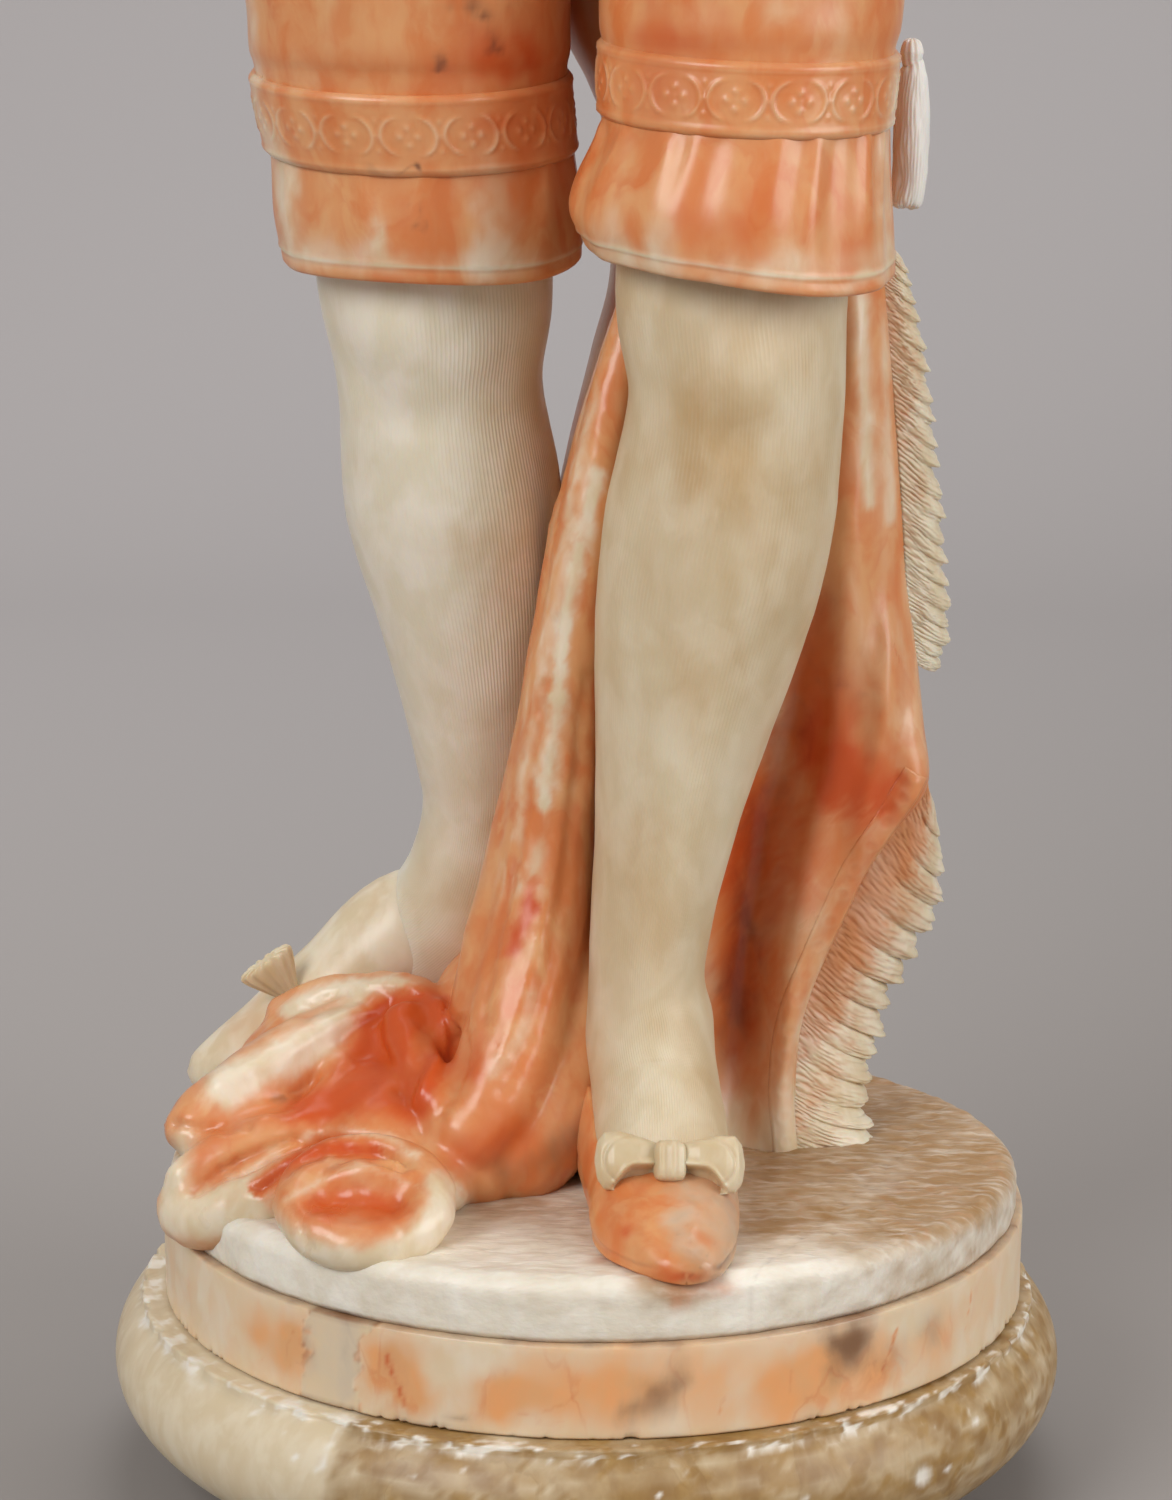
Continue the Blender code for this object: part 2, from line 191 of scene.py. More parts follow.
def tube_rings(stations: Sequence[Sequence[float]], rows: int, around: int, side: Sequence[float] = (1, 0, 0),
        level: bool = False) -> tuple[Array, Array]:
    """Sections of a limb: ellipses square to a Catmull-Rom path.

    Args:
        stations: x, y, z of the middle, half width along `side`, half depth square to it.
        rows: how many sections.
        around: points on each section. Angle 0 lies along `side`, a quarter turn on lies along the depth.
        side: the direction that the sections keep as their first axis.
        level: keep every section horizontal.

    Returns:
        The rings shaped (rows, around, 3), and the angles.
    """
    line = smooth_rows(stations, rows)
    centre, radii = line[:, :3], np.maximum(line[:, 3:5], .0004)
    tangent = np.gradient(centre, axis=0)
    tangent /= np.linalg.norm(tangent, axis=1)[:, None]
    if level:
        tangent = np.broadcast_to((0.0, 0.0, -1.0), tangent.shape)
    axis = np.array(side, float) - tangent * (tangent @ np.array(side, float))[:, None]
    axis /= np.linalg.norm(axis, axis=1)[:, None]
    depth = np.cross(axis, tangent)
    angle = turns(around)
    across = radii[:, :1, None] * np.cos(angle)[None, :, None] * axis[:, None]
    along = radii[:, 1:, None] * np.sin(angle)[None, :, None] * depth[:, None]
    return centre[:, None] + across + along, angle


def swell(rings: Array, amount: Array) -> Array:
    """Move a grid of rings out along its own normals by `amount`, row by row and point by point.

    Args:
        rings: points shaped (rows, around, 3).
        amount: metres for each point, outwards where positive.

    Returns:
        The moved rings.
    """
    around = np.roll(rings, -1, 1) - np.roll(rings, 1, 1)
    along = np.gradient(rings, axis=0)
    normal = np.cross(around, along)
    normal /= np.maximum(np.linalg.norm(normal, axis=-1, keepdims=True), 1e-12)
    outward = rings - rings.mean(1, keepdims=True)
    normal *= np.sign((normal * outward).sum(-1).mean(1))[:, None, None]
    return rings + normal * amount[..., None]


def new_mesh(name: str, points: Array, quads: Array, triangles: Array) -> Piece:
    """Make a smooth-shaded mesh object at the origin from whole arrays.

    Args:
        name: the piece's name.
        points: vertex positions, one per row.
        quads: four vertex numbers per row.
        triangles: three vertex numbers per row.

    Returns:
        The linked object.
    """
    mesh = bpy.data.meshes.new(name)
    mesh.vertices.add(len(points))
    mesh.vertices.foreach_set("co", np.ascontiguousarray(points, np.float32).ravel())
    corners = np.concatenate([quads.ravel(), triangles.ravel()]).astype(np.int32)
    sizes = np.concatenate([np.full(len(quads), 4), np.full(len(triangles), 3)]).astype(np.int32)
    mesh.loops.add(len(corners))
    mesh.loops.foreach_set("vertex_index", corners)
    mesh.polygons.add(len(sizes))
    mesh.polygons.foreach_set("loop_start", np.concatenate([[0], np.cumsum(sizes)[:-1]]).astype(np.int32))
    mesh.update(calc_edges=True)
    mesh.shade_smooth()
    made = bpy.data.objects.new(name, mesh)
    bpy.context.scene.collection.objects.link(made)
    return made


def skin_faces(rows: int, around: int) -> tuple[Array, Array]:
    """Quads of a closed tube of rings, and the fans that close its two ends.

    The points are ring after ring, then the first end's middle, then the last end's middle.

    Args:
        rows: how many rings.
        around: points on each ring.

    Returns:
        Vertex numbers of the quads and of the triangles.
    """
    low = np.arange(rows - 1)[:, None] * around + np.arange(around)[None]
    turned = np.arange(rows - 1)[:, None] * around + np.roll(np.arange(around), -1)[None]
    quads = np.stack([low, turned, turned + around, low + around], -1).reshape(-1, 4)
    ring = np.arange(around)
    after = np.roll(ring, -1)
    last = (rows - 1) * around
    first_fan = np.stack([after, ring, np.full(around, rows * around)], -1)
    last_fan = np.stack([last + ring, last + after, np.full(around, rows * around + 1)], -1)
    return quads, np.vstack([first_fan, last_fan])


def volume(points: Array, quads: Array, triangles: Array) -> float:
    """Signed volume inside the faces, positive where they point outwards.

    Args:
        points: vertex positions.
        quads: four vertex numbers per row.
        triangles: three vertex numbers per row.

    Returns:
        The volume in cubic metres.
    """
    parts = np.vstack([quads[:, [0, 1, 2]], quads[:, [0, 2, 3]], triangles])
    a, b, c = (points[parts[:, k]] for k in range(3))
    return float(np.einsum("ij,ij->i", a, np.cross(b, c)).sum() / 6)


def paint(piece: Piece, tones: Array) -> None:
    """Store three tones at each vertex: how orange, how deep red and how dark the stone is there."""
    layer = piece.data.attributes.new("tones", "FLOAT_VECTOR", "POINT")
    layer.data.foreach_set("vector", np.clip(tones, 0, 1).astype(np.float32).ravel())


def lay_weave(piece: Piece, rings: Array, turned: bool) -> None:
    """Give a tube a map in metres: u runs round the mean girth, v runs along the mean length.

    Args:
        piece: a tube made by closed_skin.
        rings: its rings, points shaped (rows, around, 3).
        turned: whether its faces were turned over.
    """
    rows, around = rings.shape[:2]
    girth = np.linalg.norm(np.roll(rings, -1, 1) - rings, axis=-1).sum(1).mean()
    steps = np.linalg.norm(np.diff(rings, axis=0), axis=-1).mean(1)
    v = np.concatenate([[0], np.cumsum(steps)])
    column = np.arange(around) * girth / around
    after = column + girth / around
    low = np.broadcast_to(v[:-1, None], (rows - 1, around))
    high = np.broadcast_to(v[1:, None], (rows - 1, around))
    left, right = np.broadcast_to(column, low.shape), np.broadcast_to(after, low.shape)
    quads = np.stack([np.stack([left, low], -1), np.stack([right, low], -1), np.stack([right, high], -1),
        np.stack([left, high], -1)], 2).reshape(-1, 4, 2)
    centre = (column + after) / 2
    first = np.stack([np.stack([after, 0 * centre + v[0]], -1), np.stack([column, 0 * centre + v[0]], -1),
        np.stack([centre, 0 * centre + v[0]], -1)], 1)
    last = np.stack([np.stack([column, 0 * centre + v[-1]], -1), np.stack([after, 0 * centre + v[-1]], -1),
        np.stack([centre, 0 * centre + v[-1]], -1)], 1)
    if turned:
        quads, first, last = quads[:, ::-1], first[:, ::-1], last[:, ::-1]
    layer = piece.data.uv_layers.new(name="weave")
    flat = np.concatenate([quads.reshape(-1, 2), first.reshape(-1, 2), last.reshape(-1, 2)])
    layer.data.foreach_set("uv", flat.astype(np.float32).ravel())


def closed_skin(name: str, rings: Array, tones: Array | None = None) -> Piece:
    """Make a closed, outward-facing tube through rings of points.

    Args:
        name: the piece's name.
        rings: points shaped (rows, around, 3).
        tones: the three tones of each point, in the same shape.

    Returns:
        The linked object.
    """
    rows, around = rings.shape[:2]
    points = np.vstack([rings.reshape(-1, 3), rings[0].mean(0), rings[-1].mean(0)])
    quads, triangles = skin_faces(rows, around)
    turned = volume(points, quads, triangles) < 0
    if turned:
        quads, triangles = quads[:, ::-1], triangles[:, ::-1]
    made = new_mesh(name, points, quads, triangles)
    lay_weave(made, rings, turned)
    if tones is not None:
        paint(made, np.vstack([tones.reshape(-1, 3), tones[0].mean(0), tones[-1].mean(0)]))
    return made


def joined(name: str, pieces: Sequence[Piece]) -> Piece:
    """Join closed pieces into one object under one name.

    Args:
        name: the name of the whole.
        pieces: the objects to join.

    Returns:
        The joined object.
    """
    with bpy.context.temp_override(active_object=pieces[0], selected_editable_objects=list(pieces)):
        bpy.ops.object.join()
    pieces[0].name = name
    return pieces[0]


def tones_of(stain: Array, deep: Array | float = 0.0, dark: Array | float = 0.0) -> Array:
    """Stack the three tones that a finish reads. Red always lies in orange."""
    deep = np.broadcast_to(deep, stain.shape)
    return np.stack([np.maximum(stain, 1.3 * deep), deep, np.broadcast_to(dark, stain.shape)], -1)


def dress(piece: Piece, material: Material, node: str = "figure") -> None:
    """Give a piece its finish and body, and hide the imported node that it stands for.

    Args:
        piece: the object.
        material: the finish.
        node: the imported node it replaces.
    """
    piece.data.materials.clear()
    piece.data.materials.append(material)
    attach(piece, "root")
    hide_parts(node)
    LOG.info("%s: %d faces", piece.name, len(piece.data.polygons))


# ---------------------------------------------------------------- finishes


def hex_linear(code: str) -> tuple[float, float, float, float]:
    """An sRGB hex colour as linear RGBA.

    Args:
        code: six hex digits after #.

    Returns:
        Red, green, blue and an alpha of 1.
    """
    values = [int(code[i:i + 2], 16) / 255 for i in (1, 3, 5)]
    linear = [v / 12.92 if v <= .04045 else ((v + .055) / 1.055) ** 2.4 for v in values]
    return (*linear, 1.0)


SMOOTH = {"interpolation_type": "SMOOTHSTEP"}
COLOUR = {"data_type": "RGBA"}


def add(tree: bpy.types.NodeTree, kind: str, inputs: dict | tuple = (), output: int | str = 0,
        **settings: object) -> Socket:
    """Add a node.

    Args:
        tree: the material's nodes.
        kind: the node's type without "ShaderNode".
        inputs: values to set or sockets to link, in order or by name or number.
        output: the output that is wanted.
        settings: the node's own properties.

    Returns:
        That output.
    """
    made = tree.nodes.new("ShaderNode" + kind)
    for key, value in settings.items():
        setattr(made, key, value)
    for key, value in (inputs if isinstance(inputs, dict) else dict(enumerate(inputs))).items():
        if isinstance(value, Socket):
            tree.links.new(value, made.inputs[key])
        else:
            made.inputs[key].default_value = value
    return made.outputs[output]


class Grain(Enum):
    """What the stone's surface carries besides its polish."""

    POLISHED = "polished"
    KNITTED = "knitted"
    TOOLED = "tooled"


@dataclass(frozen=True)
class Alabaster:
    """Carved translucent stone whose tones are painted on the vertices and broken up by clouds and veins.

    The light scatters a few millimetres deep, which softens the shade on thin folds. The clouds make each
    patch uneven, the veins draw fine warm lines, and the worn polish varies the shine. `dark` is the colour
    of dirt or damage, and of the painted shade that some pieces carry. Sizes in millimetres are those of
    each pattern as drawn.
    """

    name: str
    pale: str = "#DFCBA8"
    milky: str = "#EDE0CA"
    orange: str = "#D98048"
    tawny: str = "#E2A873"
    deep: str = "#CF5620"
    dark: str = "#5A3A32"
    cloud_mm: float = 45.0
    cloud_amount: float = .28
    vein_amount: float = .14
    roughness: float = .3
    scatter: float = .25
    grain: Grain = Grain.POLISHED

    # The spacing of the knit's ribs. A real fine knit may be closer; this is coarse enough to show.
    rib_mm: ClassVar[float] = 1.16355
    # The chisel's strokes: their length, breadth and height.
    stroke_mm: ClassVar[tuple[float, float, float]] = (12.5, 10 / 3, 6.25)

    def build(self) -> Material:
        """Mix the colours in layers: orange over cream, red over orange, then veins, then the dark tone of
        dirt, damage and painted shade.

        The clouds lie in coordinates stretched along the height and bent by a slow drift, like strata.

        Returns:
            The material.
        """
        material = bpy.data.materials.new(self.name)
        material.use_nodes = True
        tree = material.node_tree
        place = add(tree, "TexCoord", output="Object")
        stain, red, darkening = add(tree, "SeparateXYZ", (
            add(tree, "Attribute", output="Vector", attribute_name="tones"),)).node.outputs
        stretched = add(tree, "Mapping", {"Vector": place, "Scale": (1.0, 1.0, .62)})
        drift = add(tree, "TexNoise", {"Vector": stretched, "Scale": 34.0, "Detail": 3.0}, "Color")
        bent = add(tree, "VectorMath", (drift, (.024, .024, .036), stretched), operation="MULTIPLY_ADD")
        cloud, fine, marble = (add(tree, "TexNoise",
            {"Vector": bent, "Scale": finer * 1000 / self.cloud_mm, "Detail": detail})
            for finer, detail in ((1.0, 5.0), (3.2, 4.0), (.8, 7.0)))
        # The noises run from about 0 to 1. Less a half, they swing about 0.
        around_cloud, around_fine, around_marble = (
            add(tree, "Math", (noise, .5), operation="SUBTRACT") for noise in (cloud, fine, marble))
        shift = add(tree, "Math", (around_cloud, self.cloud_amount * 2, stain), operation="MULTIPLY_ADD")
        stained = add(tree, "MapRange", (shift, .12, .78), **SMOOTH)
        cream, warm = (add(tree, "Mix", {0: add(tree, "MapRange", (fine, low, high), **SMOOTH),
            6: hex_linear(one), 7: hex_linear(other)}, 2, **COLOUR) for low, high, one, other in (
            (.35, .7, self.pale, self.milky), (.3, .72, self.orange, self.tawny)))
        colour = add(tree, "Mix", {0: stained, 6: cream, 7: warm}, 2, **COLOUR)
        depth = add(tree, "Math", (around_fine, .75, red), operation="MULTIPLY_ADD")
        reddened = add(tree, "MapRange", (depth, .15, .95), **SMOOTH)
        from_line = add(tree, "Math", (around_marble,), operation="ABSOLUTE")
        crease = add(tree, "MapRange", (from_line, .02, 0.0), **SMOOTH)
        faint = add(tree, "Math", (stained, self.vein_amount), operation="MULTIPLY")
        veins = add(tree, "Math", (crease, faint), operation="MULTIPLY")
        # The third tone darkens towards `dark`: dirt and damage on some pieces, painted shade on others.
        darkened = add(tree, "Math", (around_fine, .8, darkening), operation="MULTIPLY_ADD")
        darkened = add(tree, "Math", (add(tree, "MapRange", (darkened, .1, 1.05), **SMOOTH),
            add(tree, "MapRange", (darkening, .02, .15), **SMOOTH)), operation="MULTIPLY")
        for share, hue in ((reddened, self.deep), (veins, self.deep), (darkened, self.dark)):
            colour = add(tree, "Mix", {0: share, 6: colour, 7: hex_linear(hue)}, 2, **COLOUR)
        height, reach, colour = self.relief(tree, place, fine, colour)
        shader = tree.nodes["Principled BSDF"]
        for name, source in (("Base Color", colour), ("Roughness",
                add(tree, "Math", (cloud, .16, self.roughness - .08), operation="MULTIPLY_ADD")),
                ("Normal", add(tree, "Bump", {"Height": height, "Distance": reach, "Strength": .6}))):
            tree.links.new(source, shader.inputs[name])
        for name, value in (("IOR", 1.5), ("Subsurface Weight", self.scatter),
                ("Subsurface Radius", (1.0, .5, .25)), ("Subsurface Scale", .006)):
            shader.inputs[name].default_value = value
        return material

    def relief(self, tree: bpy.types.NodeTree, place: Socket, fine: Socket,
            colour: Socket) -> tuple[Socket, float, Socket]:
        """The height of the finest relief, its reach in metres, and the colour with a painted highlight on
        the grain's crests.

        Args:
            tree: the material's nodes.
            place: the object's coordinates.
            fine: the fine clouds.
            colour: the colour so far.

        Returns:
            The height, its reach and the tinted colour.
        """
        if self.grain is Grain.POLISHED:
            return fine, .0003, colour
        if self.grain is Grain.KNITTED:
            weave = add(tree, "UVMap", uv_map="weave")
            rough = add(tree, "TexNoise", {"Vector": weave, "Scale": 60.0, "Detail": 2.0})
            ribs = add(tree, "Math", (add(tree, "SeparateXYZ", (weave,)),
                2 * math.pi * 1000 / self.rib_mm), operation="MULTIPLY")
            phase = add(tree, "Math", (rough, 2.5, ribs), operation="MULTIPLY_ADD")
            wave = add(tree, "Math", (phase,), operation="SINE")
            height = add(tree, "MapRange", (wave, -.6, 1.0), **SMOOTH)
            # `worn` picks where the knit ribs' crests get their painted highlight.
            worn = add(tree, "MapRange", (rough, .35, .8), **SMOOTH)
            crest_highlight, reach, strength = add(tree, "Math", (height, worn), operation="MULTIPLY"), .00012, .22
        else:
            flat = add(tree, "Mapping", {"Vector": place, "Rotation": (0.0, 0.0, -.35),
                "Scale": tuple(1000 / size for size in self.stroke_mm)})
            height = add(tree, "TexNoise", {"Vector": flat, "Scale": 1.0, "Detail": 5.0})
            crest_highlight, reach, strength = add(tree, "MapRange", (height, .46, .74), **SMOOTH), .0013, .36
        # Painted highlight: the crests are mixed towards the milky colour.
        share = add(tree, "Math", (crest_highlight, strength), operation="MULTIPLY")
        return height, reach, add(tree, "Mix", {0: share, 6: colour, 7: hex_linear(self.milky)}, 2, **COLOUR)


@dataclass(frozen=True)
class Finishes:
    """Every finish of the object, made once."""

    cloth: Material
    stocking: Material
    far_stocking: Material
    ribbon: Material
    fringe: Material
    tassel: Material
    ground: Material
    disc: Material
    onyx: Material

    @classmethod
    def make(cls) -> "Finishes":
        """Build the materials."""
        return cls(
            # Stained stone, polished: orange and red clouds over cream, with a soft shine on the folds.
            cloth=Alabaster("stained_alabaster_polished").build(),
            # Pale stone carved as a knit: fine ribs with a painted highlight on their crests, on warmer
            # stone, duller than the white leg.
            stocking=Alabaster("pale_alabaster_knit", pale="#DACBAB", milky="#E6DAC0", orange="#BE9863",
                tawny="#CAA878", deep="#A87C4C", cloud_mm=50.0, cloud_amount=.18, vein_amount=.1,
                roughness=.42, scatter=.2, grain=Grain.KNITTED).build(),
            # White stone carved as a knit: almost plain, with a painted highlight on its rib crests. Part of
            # its whiteness is painted light, the light that falls on the far knee.
            far_stocking=Alabaster("white_alabaster_knit_painted_light", pale="#E4DAC2", milky="#EEE5D4",
                orange="#C4A070", tawny="#CFB184", cloud_amount=.2, vein_amount=.05, roughness=.33,
                grain=Grain.KNITTED).build(),
            # Pale stone, polished: warm cream with a quiet shine, for flesh, bows and lace.
            ribbon=Alabaster("pale_alabaster_polished", pale="#D0BA93", milky="#DECFB2", orange="#D9A070",
                cloud_amount=.2, vein_amount=.1, roughness=.34).build(),
            # Rosy stone cut in strands: cream ridges, pinkish tan in the grooves.
            fringe=Alabaster("rosy_alabaster_combed", pale="#DCCBAA", milky="#ECE1C9", orange="#D18D5C",
                tawny="#DBA684", cloud_amount=.16, vein_amount=.1, roughness=.36).build(),
            # The whitest stone, cut in strands and free of veins: it stands out beside the leg. Part of its
            # whiteness is painted light, the bright light that falls on it from the right.
            tassel=Alabaster("white_alabaster_combed_painted_light", pale="#ECEAE4", milky="#F5F2EC", orange="#D9C4A4",
                cloud_amount=.1, vein_amount=0.0, roughness=.36).build(),
            # Stone left from the chisel: short strokes with a painted highlight on their crests, a dull
            # surface and tan stains.
            ground=Alabaster("tooled_alabaster", pale="#E9E0CE", milky="#F4EEE1", orange="#A27C4C",
                tawny="#B4936D", deep="#D0784A", dark="#86694C", cloud_amount=.22, vein_amount=.1,
                roughness=.45, scatter=.15, grain=Grain.TOOLED).build(),
            # Banded stone, polished: pools of light orange and red veins in cream, and an even shine.
            disc=Alabaster("banded_alabaster_polished", pale="#E8D2B0", milky="#EEDFC6", orange="#F2AC70",
                tawny="#E6B07C", deep="#D2622E", dark="#8A6446", cloud_amount=.13, vein_amount=.25,
                roughness=.36).build(),
            # Worn tan onyx: level brown streaks. Its damage is white, where fresh stone shows.
            onyx=Alabaster("tan_onyx_worn", pale="#DCCAA9", milky="#E6D8BD", orange="#94703F",
                tawny="#AA8750", deep="#80602F", dark="#F2ECE0", cloud_mm=30.0, cloud_amount=.25,
                vein_amount=.2, roughness=.4, scatter=.12).build())


# ---------------------------------------------------------------- base


def ground_height(x: Array | float, y: Array | float) -> Array | float:
    """The level of the ground's top before tooling: a plane that slopes down to the back."""
    return SEAM_Z + GROUND_MID + GROUND_SLOPE * y + 0 * x


@dataclass
class RoughGround:
    """The slab under the feet, cut with short wavy tool strokes, with a rounded lip and a smooth side."""

    material: Material
    radius: float = GROUND_RADIUS
    lip: float = .0065
    around: int = 390
    top_rows: int = 60
    side_rows: int = 8
    lip_rows: int = 7

    def build(self) -> None:
        """Rows run up the side, round a quarter circle for the lip, then in over the top to the middle."""
        angle = turns(self.around)
        unit = circle(angle)
        rim = self.radius + .0006 * waves(unit, .9, 5) + .0003 * waves(unit, .2, 6)
        bottom = SEAM_Z + .0003
        edge = ground_height(rim * unit[:, 0], rim * unit[:, 1]) - self.lip
        rise = np.linspace(0, 1, self.side_rows)[:, None]
        side_r = np.broadcast_to(rim, (self.side_rows, self.around)) - .0008 * np.exp(-rise / .05)
        side_z = bottom + rise * (edge - bottom)
        turn = np.linspace(0, math.pi / 2, self.lip_rows + 1)[1:, None]
        lip = self.lip * (1 + .25 * waves(unit, .25, 9))
        lip_r = rim - lip * (1 - np.cos(turn))
        lip_z = edge + self.lip * np.sin(turn)
        inward = np.linspace(1, .008, self.top_rows)[1:, None]
        top_r = (rim - lip) * inward
        r = np.vstack([side_r, lip_r, top_r])
        x, y = r * unit[:, 0], r * unit[:, 1]
        z = np.vstack([side_z, lip_z, ground_height(top_r * unit[:, 0], top_r * unit[:, 1])])
        rings = np.stack([x, y, z], -1)
        top = np.clip((z - edge) / self.lip, 0, 1)
        bent = wander(rings, .0035, .016, 20)
        strokes = waves(bent * (.5, 1.0, 0.0), .007, 21, 2) + .7 * waves(bent * (.6, 1.0, 0.0), .013, 22, 2)
        rings[..., 2] += top * (.00055 * strokes + .0006 * waves(rings * (1, 1, 0), .03, 23))
        rings[..., :2] += ((1 - top) * .0004 * waves(rings, .02, 24))[..., None] * unit
        self.cut_crack(rings, top)
        piece = closed_skin("rough_ground", rings, self.tones(rings, top, strokes))
        dress(piece, self.material)

    @staticmethod
    def crack_line(y: Array) -> Array:
        """Where the crack runs across the ground: a parabola from the back right to the toe."""
        return .1158 + .356 * y - .435 * y**2

    def cut_crack(self, rings: Array, top: Array) -> None:
        """Drop the surface by 0.6 mm along the crack, deepest on its line."""
        away = rings[..., 0] - self.crack_line(rings[..., 1]) + .0012 * waves(rings * (1, 1, 0), .02, 8)
        rings[..., 2] -= top * .0006 * bell(away, 0, .001) * (rings[..., 0] > .04)

    def tones(self, rings: Array, top: Array, strokes: Array) -> Array:
        """Orange bleeds from the near shoe; darker patches lie in the strokes and under the forms that stand
        there.

        Args:
            rings: points shaped (rows, around, 3).
            top: 1 on the top, 0 on the side.
            strokes: the tool strokes' height.

        Returns:
            The three tones of each point.
        """
        x, y = rings[..., 0], rings[..., 1]
        bleed = .7 * patches(rings, ((-.004, -.105, .124, .013, .02, .35),
            (.004, -.132, .126, .012, .02, .55), (.022, -.149, .125, .014, .012, .75),
            (.042, -.15, .124, .012, .008, .45), (.1, -.13, .11, .03, .01, .18)), 3)
        darkening = patches(rings, ((-.025, -.07, .122, .03, .03, .55), (.01, -.03, .122, .045, .03, .5),
            (-.01, -.11, .122, .022, .03, .3), (.075, -.02, .122, .035, .03, .35),
            (.06, -.105, .122, .03, .03, .32), (.12, .05, .12, .05, .02, .4), (.1, -.05, .12, .04, .03, .3),
            (-.06, .06, .12, .06, .03, .35), (.13, -.085, .112, .03, .01, .22)), 4)
        crack = bell(x - self.crack_line(y), 0, .0008) * (x > .045) * (y > -.152)
        seam = bell(rings[..., 2], SEAM_Z, .0012) * (1 - top)
        dark = darkening * (.55 + .45 * soft_step(-strokes, -.2, .6)) * (.15 + .85 * top) + .22 * crack + .5 * seam
        inner = top * (.15 + .85 * soft_step(y + .2 * x, -.135, -.07))
        mottle = .22 * waves(rings * (1, 1, 0), .05, 25) + .1 * waves(rings, .01, 26)
        side = (1 - top) * (.12 + .2 * waves(rings * (1, 1, 1.5), .022, 27) + .22 * soft_step(x, .02, .12))
        stain = .3 * bleed + .02 + inner * (.7 + mottle) + side
        return tones_of(stain, .9 * bleed, dark)


